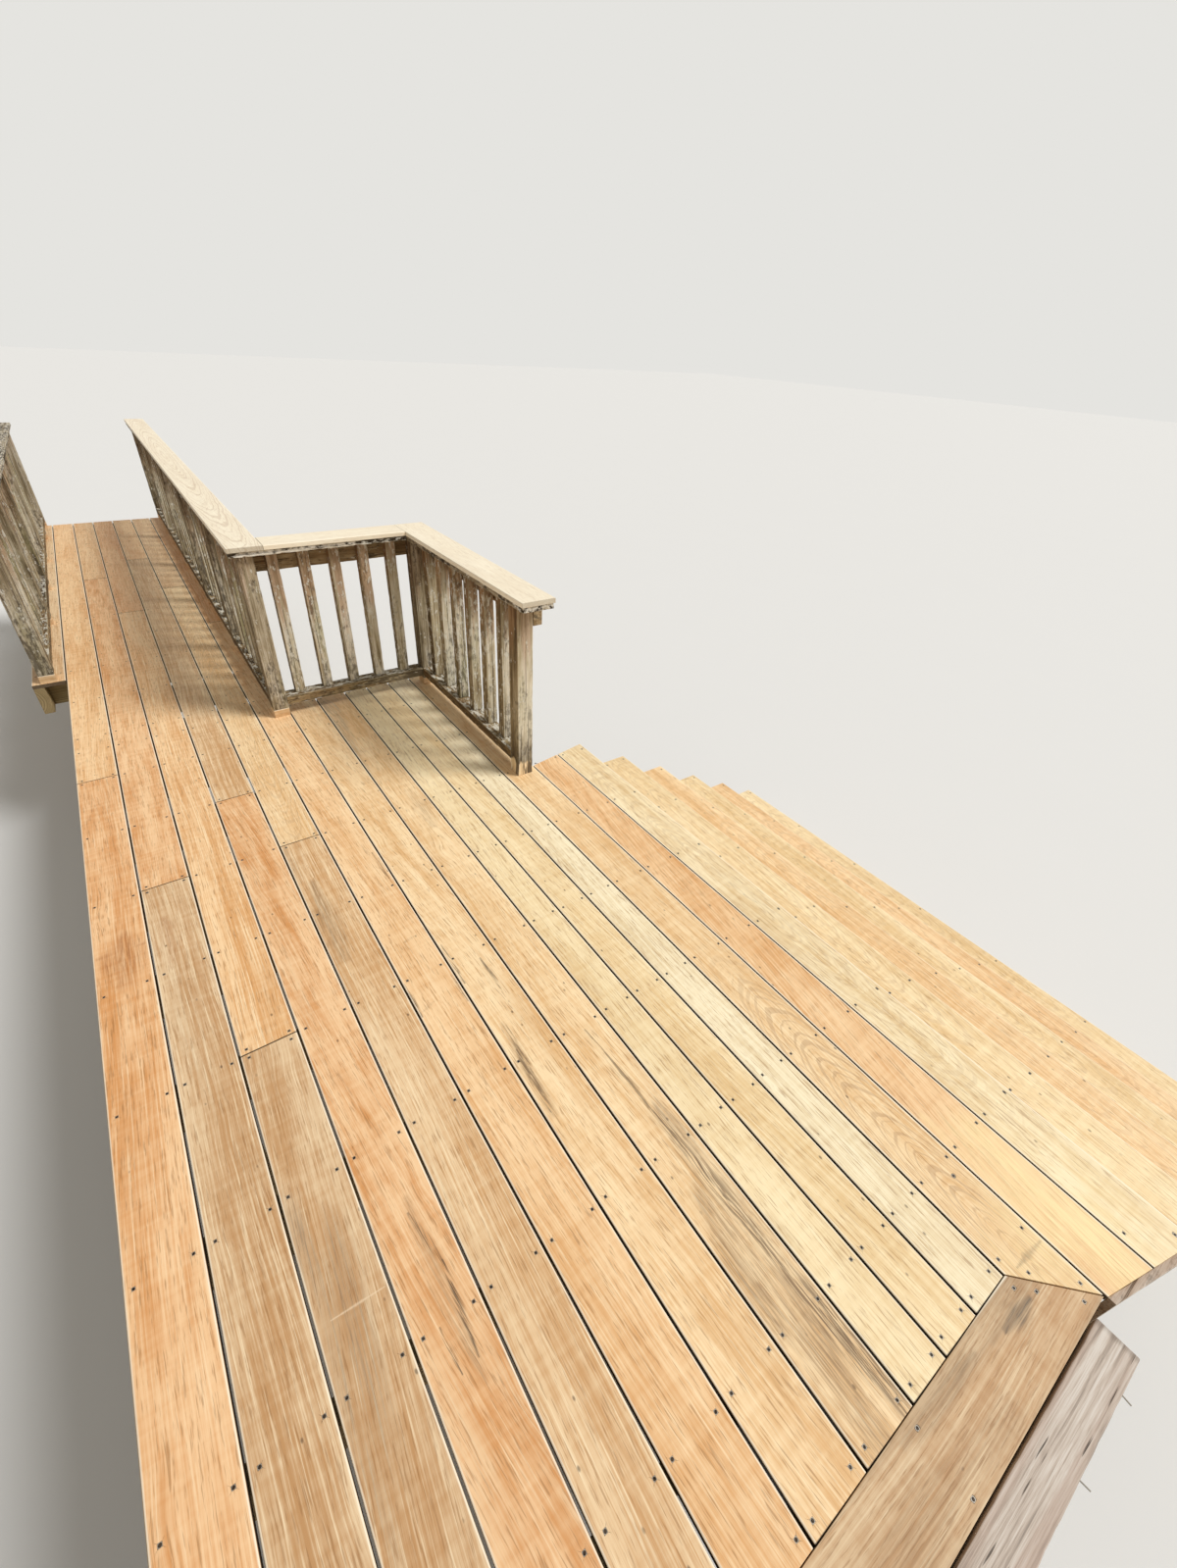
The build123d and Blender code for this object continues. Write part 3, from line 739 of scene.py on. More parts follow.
@dataclass(frozen=True)
class WeatheredTimber(Finish):
    """Old timber with streaks, checks, mould, lichen and flaking, and painted light and shade on
    its sides and just under the cap.
    """

    name: str = "weathered_timber"
    stops: Stops = (
        (0.26, "40331F"),
        (0.4, "7A6A4F"),
        (0.5, "A19274"),
        (0.6, "C1B69B"),
        (0.72, "E0D9C8"),
    )
    mould: float = 0.6
    lichen: float = 0.5
    flake: float = 0.3
    flake_colour: str = "DAD7CA"
    under_cap_brown: float = 0.0
    fresh_foot: float = 0.0
    top_flake: float = 0.0
    inward_shade: float = 0.65
    outward_lift: float = 0.1

    def write(self, bench: Bench) -> None:
        """Write the finish.

        Args:
            bench: The material's bench.
        """
        marks = TimberMarks(bench)
        grain = marks.grain
        streak = grain.cloud((1.8, 38.0), 4.0, 0.6)
        fibre = grain.cloud((6.0, 240.0), 3.0, 0.65)
        patch = grain.cloud((4.0, 10.0), 4.0, 0.6)
        tone = 0.5 + streak.swing(0.8) + fibre.swing(0.55) + patch.swing(0.6)
        tone = tone + marks.luck.swing(0.22)
        # Faces turned towards -y are paler: painted light on the side the lamp falls on, with some
        # bleaching by weather.
        outward_pale = (marks.outward + patch.swing(0.8)).rise(0.4, 0.8)
        colour = (tone + outward_pale * self.outward_lift).ramp(self.stops)

        green = (patch * 0.5 + grain.cloud((2.5, 16.0), 3.0) * 0.5).rise(0.5, 0.6)
        green = green * (0.3 + marks.kind * 1.3)
        colour = colour.under(green * (0.5 * self.lichen), "878A55")
        checks = grain.cloud((2.2, 120.0)).rise(0.6, 0.68)
        colour = colour.under(checks * 0.6, "40301F")
        # Faces turned towards -x are darker: painted shade on the side away from the lamp, with
        # browner weathering.
        shaded = (marks.inward + patch.swing(0.5)).rise(0.45, 0.8)
        colour = colour.under(shaded * self.inward_shade, "AE9A78", "MULTIPLY")
        # A browner band just under the cap: timber kept from the weather there, and painted shadow
        # of the cap.
        if self.under_cap_brown:
            edge = marks.world_z + streak.swing(0.9) + patch.swing(0.3) + marks.hue * 0.2 - 0.1
            brown = tone.ramp(((0.3, "4B2F1B"), (0.5, "7C5432"), (0.7, "A98055")))
            cap_band = edge.rise(CAP_UNDER - 0.3, CAP_UNDER - 0.1)
            colour = colour.under(cap_band * self.under_cap_brown, brown)
        spots = grain.cloud((28.0, 70.0), 4.0, 0.7)
        damp = marks.world_z.rise(DECK_TOP + 0.35, DECK_TOP + 0.05) * 0.05
        black = spots * 0.45 + patch * 0.35 + streak * 0.2 + damp
        black = black.rise(0.55 - 0.05 * self.mould, 0.645 - 0.05 * self.mould)
        colour = colour.under(black * (0.35 + 0.45 * self.mould), "3A2F22")
        crust = grain.cloud((24.0, 55.0), 5.0, 0.72)
        level = 0.66 - 0.14 * self.flake
        pale = crust.rise(level, level + 0.05)
        if self.top_flake:
            pale = pale.most(crust.rise(0.49, 0.55) * marks.up.rise(0.6, 0.9) * self.top_flake)
        colour = colour.under(pale * 0.85, self.flake_colour)
        pale_edge = (marks.arris + crust.swing(0.014)).rise(0.006, 0.001)
        colour = colour.under(pale_edge * 0.3, "CFC3A4")
        if self.fresh_foot:
            foot = DECK_TOP + self.fresh_foot
            soot = (marks.world_z + patch.swing(0.3)).rise(foot + 0.2, foot)
            colour = colour.under(soot * (0.2 + spots * 0.8), "352A1F")
            low = (marks.world_z + streak.swing(0.09)).rise(foot + 0.008, foot - 0.008)
            fresh = tone.ramp(((0.35, "D6B688"), (0.55, "F0DAB4"), (0.7, "FAEBCF")))
            drips = grain.cloud((4.0, 34.0), 3.0, 0.6).rise(0.5, 0.56)
            colour = colour.under(low, fresh.under(drips * 0.85, "3B2A1C"))

        height = fibre * 0.5 + streak * 0.6 - checks * 1.2 + pale * 0.5 + spots * 0.3
        bench.finish(colour, 0.86 + fibre.swing(0.2), height, 0.0018, 0.8, 0.2)


# The old timbers' finishes by their slot, or by the node that has one of its own
OLD_TIMBERS = {
    "old_post": WeatheredTimber(
        "old_post_timber",
        ((0.26, "3D3428"), (0.4, "74674F"), (0.5, "988B72"), (0.6, "B5AA94"), (0.72, "D3CCBC")),
        mould=0.9,
        lichen=0.3,
        flake=0.4,
        under_cap_brown=0.4,
        outward_lift=0.03,
    ),
    "old_baluster": WeatheredTimber(
        "old_baluster_timber", mould=0.7, lichen=0.7, flake=0.8, under_cap_brown=0.7
    ),
    "old_rail": WeatheredTimber(
        "old_rail_timber",
        ((0.26, "3B2E20"), (0.4, "675238"), (0.5, "87704F"), (0.6, "A28D69"), (0.72, "BFB193")),
        mould=0.9,
        lichen=0.15,
        flake=0.25,
        under_cap_brown=0.3,
        top_flake=0.9,
    ),
    "old_cap": WeatheredTimber(
        "old_cap_timber",
        ((0.26, "40362A"), (0.4, "786B57"), (0.5, "A39781"), (0.6, "C6BDAB"), (0.72, "E0DACD")),
        mould=1.6,
        lichen=0.2,
        flake=0.6,
        flake_colour="E6E3D9",
    ),
    "stair_end_post": WeatheredTimber(
        "old_end_post_timber", mould=0.4, lichen=0.3, flake=0.3, under_cap_brown=0.6, fresh_foot=0.06
    ),
    "old_side_strip": WeatheredTimber(
        "old_strip_timber",
        ((0.26, "6B5646"), (0.4, "927A67"), (0.5, "B09A87"), (0.6, "C3B2A2"), (0.72, "D4C7BA")),
        mould=0.3,
        lichen=0.0,
        flake=0.0,
    ),
}


@dataclass(frozen=True)
class SilveredBeam(Finish):
    """Bare timber gone silver, with reddish streaks and a browner far edge."""

    name: str = "silvered_beam"

    def write(self, bench: Bench) -> None:
        """Write the finish.

        Args:
            bench: The material's bench.
        """
        marks = TimberMarks(bench)
        grain = marks.grain
        streak = grain.cloud((1.3, 42.0), 4.0, 0.6)
        fibre = grain.cloud((7.0, 330.0), 3.0, 0.65)
        tone = 0.52 + streak.swing(1.5) + fibre.swing(1.1)
        stops = ((0.25, "7C6A5B"), (0.42, "B4A08E"), (0.55, "D2C1B1"), (0.75, "EBE1D6"))
        red = grain.cloud((0.9, 24.0), 3.0, 0.6).rise(0.48, 0.62)
        colour = tone.ramp(stops).under(red * 0.45, "B48F78")
        cool = (marks.across + streak.swing(0.05)).rise(0.014, 0.036)
        colour = colour.under(cool * 0.35, "BCB8B4")
        brown = (marks.across + streak.swing(0.03)).rise(-0.028, -0.038)
        colour = colour.under(brown * 0.65, "B58C5C")
        checks = grain.cloud((5.0, 110.0)).rise(0.64, 0.7)
        colour = colour.under(checks * 0.75, "3A2F28")
        holes = grain.specks((11.0, 26.0)).rise(0.1, 0.05)
        holes = holes * grain.cloud((2.5, 8.0), 1.0).rise(0.54, 0.6)
        colour = colour.under(holes * 0.9, "241C17")
        ends = (marks.end + streak.swing(0.03)).rise(0.02, 0.004)
        colour = colour.under(ends * 0.35, "4B4037")
        height = fibre * 0.5 + streak * 0.6 - checks * 1.5 - holes * 2.0
        bench.finish(colour, 0.85 + fibre.swing(0.2), height, 0.002, 0.8, 0.2)


@dataclass(frozen=True)
class SawnSoftwood(Finish):
    """Rough sawn softwood with rings, knots and saw marks."""

    name: str = "sawn_softwood"
    stops: Stops = ((0.25, "8C7B58"), (0.5, "A7926A"), (0.75, "C1AC80"))
    damp: float = 0.5
    saw_marks: float = 1.0

    def write(self, bench: Bench) -> None:
        """Write the finish.

        Args:
            bench: The material's bench.
        """
        marks = TimberMarks(bench)
        grain = marks.grain
        warp = grain.cloud((1.2, 6.0)) - 0.5
        heart = marks.depth + marks.luck * 0.09 + warp * 0.05 + 0.02
        side = marks.across - marks.kind.swing(0.12)
        knots = grain.specks((1.6, 9.0))
        radius = (side * side + heart * heart) ** 0.5 + knots.rise(0.3, 0.06) * 0.012
        rings = (radius * 190.0).line_noise()
        fibre = grain.cloud((8.0, 460.0), 2.0, 0.6)
        cloudy = grain.cloud((2.4, 9.0), 3.0, 0.6)
        tone = 0.5 + rings.swing(1.1) + fibre.swing(0.6) + cloudy.swing(0.6)
        colour = tone.ramp(self.stops).under(knots.rise(0.085, 0.05) * 0.75, "5B4026")
        colour = colour.under(cloudy.rise(0.5, 0.68) * (0.6 * self.damp), "6D6046")
        colour = colour.under(marks.world_z.rise(0.16, 0.0) * (0.55 * self.damp), "54493A")
        colour = colour.under(marks.end.rise(0.012, 0.001) * 0.3, "6B573B")
        teeth = (marks.along * 420.0 + marks.across * 60.0).line_noise(1.0)
        height = fibre * 0.5 + teeth * (0.5 * self.saw_marks) + rings * 0.2
        bench.finish(colour, 0.82 + fibre.swing(0.2), height, 0.0009, 0.6, 0.25)


@dataclass(frozen=True)
class ScrewSteel(Finish):
    """Dull steel of screws and nails."""

    name: str = "screw_steel"
    stops: Stops = ((0.3, "837D74"), (0.7, "ADA69A"))
    metal: float = 0.6

    def write(self, bench: Bench) -> None:
        """Write the finish.

        Args:
            bench: The material's bench.
        """
        blotch = bench.add("ShaderNodeTexCoord", None, None, "Object").cloud(900.0, 3.0, 0.6)
        colour, roughness = blotch.ramp(self.stops), 0.32 + blotch * 0.3
        bench.finish(colour, roughness, blotch, 0.0001, 0.3, metal=self.metal)


@dataclass(frozen=True)
class FloorPaint(Finish):
    """A pale floor with a faint mottle."""

    name: str = "floor_paint"
    colour: str = "E2E3E3"
    mottle: str = "D1D2D2"

    def write(self, bench: Bench) -> None:
        """Write the finish on its material's bench."""
        cloud = bench.add("ShaderNodeTexCoord", None, None, "Object").cloud(1.5, 3.0)
        bench.finish(bench.mix(cloud * 0.06, self.colour, self.mottle), 0.9)


# Working the timbers


@dataclass(frozen=True)
class Working:
    """How a timber's edges and faces are worked.

    Attributes:
        arris: Radius of the rounded edges, in metres.
        rounds: Segments of the rounding.
        cut_step: Distance between cross cuts; 0 for none.
        chip: How far weather has eaten the edges.
        chip_scale: Chips per metre.
        lean: Most that a timber turns about its own centre, in radians.
    """

    arris: float = 0.001
    rounds: int = 2
    cut_step: float = 0.0
    chip: float = 0.0
    chip_scale: float = 45.0
    lean: float = 0.0


@dataclass
class Hole:
    """A countersunk screw hole in the top of a board."""

    x: float
    y: float
    z: float = 0.0


@dataclass
class Solid:
    """One solid of a node while it is worked."""

    mesh: bmesh.types.BMesh
    low: Vector = field(default_factory=Vector)
    high: Vector = field(default_factory=Vector)

    def measure(self) -> "Solid":
        """Read the lowest and highest corners.

        Returns:
            The solid itself.
        """
        spots = [vert.co for vert in self.mesh.verts]
        self.low = Vector([min(spot[i] for spot in spots) for i in range(3)])
        self.high = Vector([max(spot[i] for spot in spots) for i in range(3)])
        return self

    @property
    def centre(self) -> Vector:
        """Middle of its box."""
        return (self.low + self.high) / 2

    @property
    def half(self) -> Vector:
        """Half of its box."""
        return (self.high - self.low) / 2

    @property
    def order(self) -> tuple[int, int, int]:
        """Axes from the longest side to the shortest."""
        half = self.half
        return tuple(sorted(range(3), key=lambda axis: (-round(half[axis], 4), axis)))


def solids_of(node: str) -> list[Solid]:
    """Copies of a node's solids with their doubles merged and whole faces.

    Args:
        node: Name of the CAD node.

    Returns:
        The solids, sorted across and then along the deck.
    """
    source = bmesh.new()
    source.from_mesh(frame["nodes"][node].data)
    bmesh.ops.remove_doubles(source, verts=source.verts, dist=1e-5)
    bmesh.ops.dissolve_limit(
        source, angle_limit=math.radians(0.4), verts=source.verts, edges=source.edges
    )
    source.faces.index_update()
    left = set(source.faces)
    found = []
    while left:
        group = {left.pop()}
        front = list(group)
        while front:
            for edge in front.pop().edges:
                for face in edge.link_faces:
                    if face in left:
                        left.discard(face)
                        group.add(face)
                        front.append(face)
        kept = {face.index for face in group}
        single = source.copy()
        others = [face for face in single.faces if face.index not in kept]
        bmesh.ops.delete(single, geom=others, context="FACES")
        found.append(Solid(single).measure())
    source.free()
    found.sort(key=lambda solid: (round(solid.centre.x, 3), round(solid.centre.y, 3)))
    return found


def boxes_of(node: str) -> list[Solid]:
    """A node's solids for their boxes alone.

    Args:
        node: Name of the CAD node.

    Returns:
        The solids, with their meshes freed.
    """
    solids = solids_of(node)
    for solid in solids:
        solid.mesh.free()
    return solids


def joist_rows() -> list[float]:
    """Where the centre lines of the joists beyond the house line lie."""
    rows = {round(joist.centre.y, 4) for joist in boxes_of("deck_joists")}
    return sorted(row for row in rows if row > HOUSE_LINE)


def slice_at(mesh: bmesh.types.BMesh, axis: int, place: float) -> None:
    """Cut all faces along one plane without removing anything.

    Args:
        mesh: The mesh to cut.
        axis: Axis that the plane faces.
        place: Where on that axis it lies.
    """
    normal = Vector((0.0, 0.0, 0.0))
    normal[axis] = 1.0
    geometry = mesh.verts[:] + mesh.edges[:] + mesh.faces[:]
    bmesh.ops.bisect_plane(mesh, geom=geometry, dist=1e-6, plane_co=normal * place, plane_no=normal)


def join_mesh(whole: bmesh.types.BMesh, data: bpy.types.Mesh) -> list[bmesh.types.BMVert]:
    """Add a mesh to another.

    Args:
        whole: The mesh that grows.
        data: The mesh to add.

    Returns:
        The new corners.
    """
    start = len(whole.verts)
    whole.from_mesh(data)
    whole.verts.ensure_lookup_table()
    return whole.verts[start:]


def place_object(name: str, data: bpy.types.ID) -> bpy.types.Object:
    """Put a mesh, a lamp or a camera in the scene.

    Args:
        name: Its name.
        data: What it shows.

    Returns:
        The object.
    """
    thing = bpy.data.objects.new(name, data)
    bpy.context.scene.collection.objects.link(thing)
    return thing


def new_piece(
    name: str, mesh: bmesh.types.BMesh, *finishes: bpy.types.Material
) -> bpy.types.Object:
    """Turn a finished mesh into an object of the scene.

    Args:
        name: Its name.
        mesh: The mesh, which is freed.
        finishes: The materials of its slots.

    Returns:
        The object.
    """
    data = bpy.data.meshes.new(name)
    mesh.to_mesh(data)
    mesh.free()
    for finish in finishes:
        data.materials.append(finish)
    LOG.info("%s: %d faces", name, len(data.polygons))
    return place_object(name, data)


@dataclass
class Bore:
    """Cuts countersunk holes into the top of a flat board."""

    CELL = 0.0085
    INSET = 0.0012
    RIM = 0.006
    SEAT = 0.0048
    SINK = 0.0009

    solid: Solid
    holes: list[Hole]

    def cut(self) -> None:
        """Cut all the holes."""
        mesh, top = self.solid.mesh, self.solid.high.z
        for axis, name in ((0, "x"), (1, "y")):
            lines: list[float] = []
            for hole in self.holes:
                for place in (getattr(hole, name) - self.CELL, getattr(hole, name) + self.CELL):
                    if all(abs(place - known) > 1e-5 for known in lines):
                        lines.append(place)
            for place in sorted(lines):
                slice_at(mesh, axis, place)
        for hole in self.holes:
            inside = [face for face in mesh.faces if self._over(face, hole, top)]
            if not inside:
                continue
            cell = inside[0]
            if len(inside) > 1:
                cell = bmesh.ops.dissolve_faces(mesh, faces=inside)["region"][0]
            self._sink(cell, hole, top)
            hole.z = top - self.SINK

    def _over(self, face: bmesh.types.BMFace, hole: Hole, top: float) -> bool:
        """Whether a face lies in a hole's cell.

        Args:
            face: The face.
            hole: The hole.
            top: Height of the board's top.

        Returns:
            True for a face of the top inside the cell.
        """
        middle = face.calc_center_median()
        return (
            abs(middle.x - hole.x) < self.CELL
            and abs(middle.y - hole.y) < self.CELL
            and middle.z > top - 1e-4
            and face.normal.z > 0.9
        )

    def _sink(self, cell: bmesh.types.BMFace, hole: Hole, top: float) -> None:
        """Turn a cell into a round countersunk hole.

        Args:
            cell: The cell's face.
            hole: The hole.
            top: Height of the board's top.
        """
        mesh = self.solid.mesh
        bmesh.ops.inset_individual(mesh, faces=[cell], thickness=self.INSET, depth=0.0)
        if len(cell.edges) == 4:
            bmesh.ops.subdivide_edges(mesh, edges=list(cell.edges), cuts=2)
            round_faces = [face for face in mesh.faces if len(face.verts) == 12]
            cell = next(face for face in round_faces if self._over(face, hole, top))
        self._round(cell, hole, self.RIM)
        bmesh.ops.inset_individual(
            mesh, faces=[cell], thickness=self.RIM - self.SEAT, depth=-self.SINK
        )
        self._round(cell, hole, self.SEAT)

    @staticmethod
    def _round(cell: bmesh.types.BMFace, hole: Hole, radius: float) -> None:
        """Move a face's corners onto a circle.

        Args:
            cell: The face.
            hole: The hole in its middle.
            radius: The circle's radius.
        """
        for vert in cell.verts:
            arm = Vector((vert.co.x - hole.x, vert.co.y - hole.y)).normalized() * radius
            vert.co.x, vert.co.y = hole.x + arm.x, hole.y + arm.y


@dataclass
class Timbers:
    """The worked timbers of one CAD node, which they replace.

    Attributes:
        node: Name of the CAD node.
        working: Edges and faces.
        looks: A look for each solid, or none for drawn ones.
        holes: Screw holes by the number of the solid.
    """

    SHARP = math.radians(50)

    node: str
    working: Working
    looks: list[Look] | None = None
    holes: dict[int, list[Hole]] = field(default_factory=dict)

    def __post_init__(self) -> None:
        """Draw from dice of the node's own."""
        self.dice = random.Random(f"{SEED} {self.node}")

    def build(self, material: bpy.types.Material) -> None:
        """Work every solid and join them in one piece that replaces the node.

        Args:
            material: The finish.
        """
        whole = bmesh.new()
        layers = [whole.verts.layers.float_vector.new(name) for name in ATTRIBUTES]
        for number, solid in enumerate(solids_of(self.node)):
            self._round_edges(solid)
            self._cross_cut(solid)
            self._weather(solid)
            if number in self.holes:
                Bore(solid, self.holes[number]).cut()
            self._add(whole, solid, number, layers)
        piece = new_piece(f"{self.node}_worked", whole, material)
        piece.data.shade_smooth()
        piece.data.set_sharp_from_angle(angle=self.SHARP)
        piece.modifiers.new("even_normals", "WEIGHTED_NORMAL").keep_sharp = True
        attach(piece, "root")
        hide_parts(self.node)

    def _round_edges(self, solid: Solid) -> None:
        """Round all sharp edges.

        Args:
            solid: The solid.
        """
        if self.working.arris:
            bmesh.ops.bevel(
                solid.mesh,
                geom=[edge for edge in solid.mesh.edges if edge.calc_face_angle(0.0) > 0.5],
                offset=self.working.arris,
                offset_type="OFFSET",
                segments=self.working.rounds,
                profile=0.5,
                affect="EDGES",
                material=-1,
                clamp_overlap=True,
            )

    def _cross_cut(self, solid: Solid) -> None:
        """Cut the long edges into short lengths.

        Args:
            solid: The solid.
        """
        if not self.working.cut_step:
            return
        axis = solid.order[0]
        length = 2 * solid.half[axis]
        edges = [
            edge
            for edge in solid.mesh.edges
            if abs(edge.verts[0].co[axis] - edge.verts[1].co[axis]) > length * 0.8
        ]
        cuts = max(1, round(length / self.working.cut_step))
        bmesh.ops.subdivide_edges(solid.mesh, edges=edges, cuts=cuts, use_grid_fill=True)

    def _weather(self, solid: Solid) -> None:
        """Eat away the edges and turn the timber a little.

        Args:
            solid: The solid.
        """
        working = self.working
        along, across, depth = solid.order
        centre, half = solid.centre, solid.half
        spin = self.dice.uniform(-working.lean, working.lean)
        salt = Vector([self.dice.uniform(0, 50) for _ in range(3)])
        turn = Matrix.Rotation(spin, 4, "XYZ"[along]) if spin else None
        for vert in solid.mesh.verts:
            if working.chip:
                arm = vert.co - centre
                spot = vert.co * working.chip_scale + salt
                bite = max(0.0, noise.fractal(spot, 1.0, 2.0, 3) + 0.1) * working.chip
                bite += 0.25 * working.chip * (noise.noise(spot * 0.13) + 0.5)
                for axis in (across, depth):
                    arm[axis] -= math.copysign(min(bite, half[axis] * 0.5), arm[axis])
                vert.co = centre + arm
            if turn is not None:
                vert.co = centre + turn @ (vert.co - centre)

    def _sunk(self, spot: Vector, solid: Solid, number: int) -> float:
        """Whether a corner lies at the bottom of a screw hole.

        Args:
            spot: The corner.
            solid: Its solid.
            number: The solid's number.

        Returns:
            1 at the bottom of a hole, 0 elsewhere.
        """
        if abs(spot.z - solid.high.z + Bore.SINK) > 1e-4:
            return 0.0
        holes = self.holes.get(number, [])
        reach = Bore.SEAT + 2e-4
        return float(any(math.hypot(spot.x - hole.x, spot.y - hole.y) < reach for hole in holes))

    def _add(
        self,
        whole: bmesh.types.BMesh,
        solid: Solid,
        number: int,
        layers: list[bmesh.types.BMLayerItem],
    ) -> None:
        """Copy a finished solid into the piece and write its attributes.

        Args:
            whole: The piece's mesh.
            solid: The solid, whose mesh is freed.
            number: The solid's number.
            layers: The attributes' layers.
        """
        along, across, depth = solid.order
        centre, half = solid.centre, solid.half
        tone = Vector([self.dice.random() for _ in range(3)])
        look = self.looks[number] if self.looks else PLAIN_LOOK
        if self.looks:
            tone.x = min(1.0, max(0.0, look.tone.value + self.dice.uniform(-0.02, 0.02)))
        common = (
            (half[along], half[across], half[depth]),
            tone,
            look.figure.value,
            (HOUSE_LINE + look.eye, look.steep, look.flame),
            (look.slope, look.curl, 0.0),
            (look.low_gap, look.high_gap, look.stop),
        )
        data = bpy.data.meshes.new("solid")
        solid.mesh.to_mesh(data)
        solid.mesh.free()
        for vert in join_mesh(whole, data):
            arm = vert.co - centre
            own = (arm[along], arm[across], arm[depth])
            cuts = (self._sunk(vert.co, solid, number), look.end_gap, 0.0)
            for layer, value in zip(layers, (own, *common, cuts)):
                vert[layer] = value
        bpy.data.meshes.remove(data)


# Sub-assemblies


@dataclass
class Deck:
    """New decking boards and the screws that hold them.

    Attributes:
        edge_gap: Screws from a board's edge.
        end_gap: Screws from a cut end.
        near_gap: First screws from the slanted near end.
        butt_reach: A joist this close to a board's end carries a butt joint.
        least_pitch: Rows closer than this become one.
        slant: How far the screw rows run out of square.
        square_at: Where across the deck the slant begins.
        nudges: Where the first rows lie beside their joists' centre lines.
    """

    edge_gap: float = 0.0175
    end_gap: float = 0.0135
    near_gap: float = 0.0205
    butt_reach: float = 0.03
    least_pitch: float = 0.06
    slant: float = 0.0115
    square_at: float = 0.75
    nudges: tuple[float, ...] = (0.0135, 0.005, -0.0025)
    working: Working = Working(arris=0.0009)
    holes: list[Hole] = field(default_factory=list)
    dice: random.Random = field(default_factory=lambda: random.Random(f"{SEED} screws"))

    def looks(self) -> dict[str, list[Look]]:
        """Looks of all the boards, from the wall outwards and from the near end on.

        Returns:
            The looks by the boards' node.
        """
        wing_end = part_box("wide_deck_boards")[1].y
        head_end = HOUSE_LINE + 2.05
        return {
            "walkway_boards": [
                Look(Tone.DUSK, Figure.RIBBON, low_gap=0.0),
                Look(Tone.AMBER, Figure.FINE, slope=0.008),
                Look(Tone.HONEY),
                Look(Tone.GREY, Figure.RIBBON, slope=-0.03),
                Look(Tone.AMBER, Figure.BLOTCHY),
                Look(Tone.HONEY, Figure.FINE, eye=6.2, flame=0.6),
                Look(Tone.GREY, Figure.MINERAL, slope=0.06, curl=1.0),
                Look(Tone.HONEY, Figure.RIBBON, slope=0.01),
                Look(Tone.AMBER),
                Look(Tone.AMBER, Figure.BLOTCHY, slope=-0.1, curl=0.6),
                Look(Tone.DUSK, Figure.RIBBON),
                Look(Tone.HONEY),
                Look(Tone.DUSK, Figure.RIBBON, slope=0.01, curl=0.2),
                Look(Tone.SAND, Figure.FINE, eye=3.1, flame=0.6),
                Look(Tone.DUSK),
                Look(Tone.HONEY, Figure.FINE, slope=-0.05, curl=1.0, stop=wing_end),
                Look(Tone.AMBER, Figure.RIBBON, high_gap=0.0),
            ],
            "wide_deck_boards": [
                Look(Tone.SAND, Figure.BLOTCHY, slope=-0.07, curl=0.8),
                Look(Tone.SAND, Figure.MINERAL, slope=-0.03, curl=1.0),
                Look(Tone.STRAW, Figure.SMOOTH, curl=0.2),
                Look(Tone.STRAW, Figure.FINE, slope=-0.05),
                Look(Tone.CREAM, Figure.RIBBON, slope=0.01, curl=0.1),
            ],
            "mitred_frame_board": [
                Look(Tone.SAND, Figure.FINE, eye=-0.32, steep=0.14, flame=1.0, stop=head_end)
            ],
            "cross_board": [Look(Tone.GREY, Figure.FINE, curl=0.5)],
            "stair_head_boards": [
                Look(Tone.HONEY, Figure.FINE, slope=0.14, curl=0.5, end_gap=0.0),
                Look(
                    Tone.FLAX, Figure.BLOTCHY, eye=1.0, steep=0.15, flame=0.5,
                    high_gap=0.0, end_gap=0.0,
                ),
            ],
        }

    def build(self, boards: bpy.types.Material, stained: bpy.types.Material) -> None:
        """Build the boards.

        Args:
            boards: Finish of the boards.
            stained: Finish of the cross board.
        """
        rows = joist_rows()
        corner = [(1.6352, -0.2314), (1.5607, -0.1593), (1.6106, 0.0374)]
        cross = [(1.5064, -0.1551), (1.5406, -0.1852), (1.6069, -0.2508)]
        for across in (1.142, 0.742, 0.342, 0.03):
            line = near_end(WALL_LINE + across) - HOUSE_LINE
            cross += [(across, line - 0.0217), (across, line - 0.1261)]
        extra = {
            "mitred_frame_board": corner,
            "cross_board": cross,
            "stair_head_boards": [(1.8222, -0.2461), (1.9182, -0.3136)],
        }
        for node, looks in self.looks().items():
            holes = self._screw_lines(node, rows)
            points = [deck_point(*spot) for spot in extra.get(node, [])]
            holes[max(holes)] += [Hole(point.x, point.y) for point in points]
            for spots in holes.values():
                self.holes += spots
            finish = stained if node == "cross_board" else boards
            Timbers(node, self.working, looks, holes).build(finish)

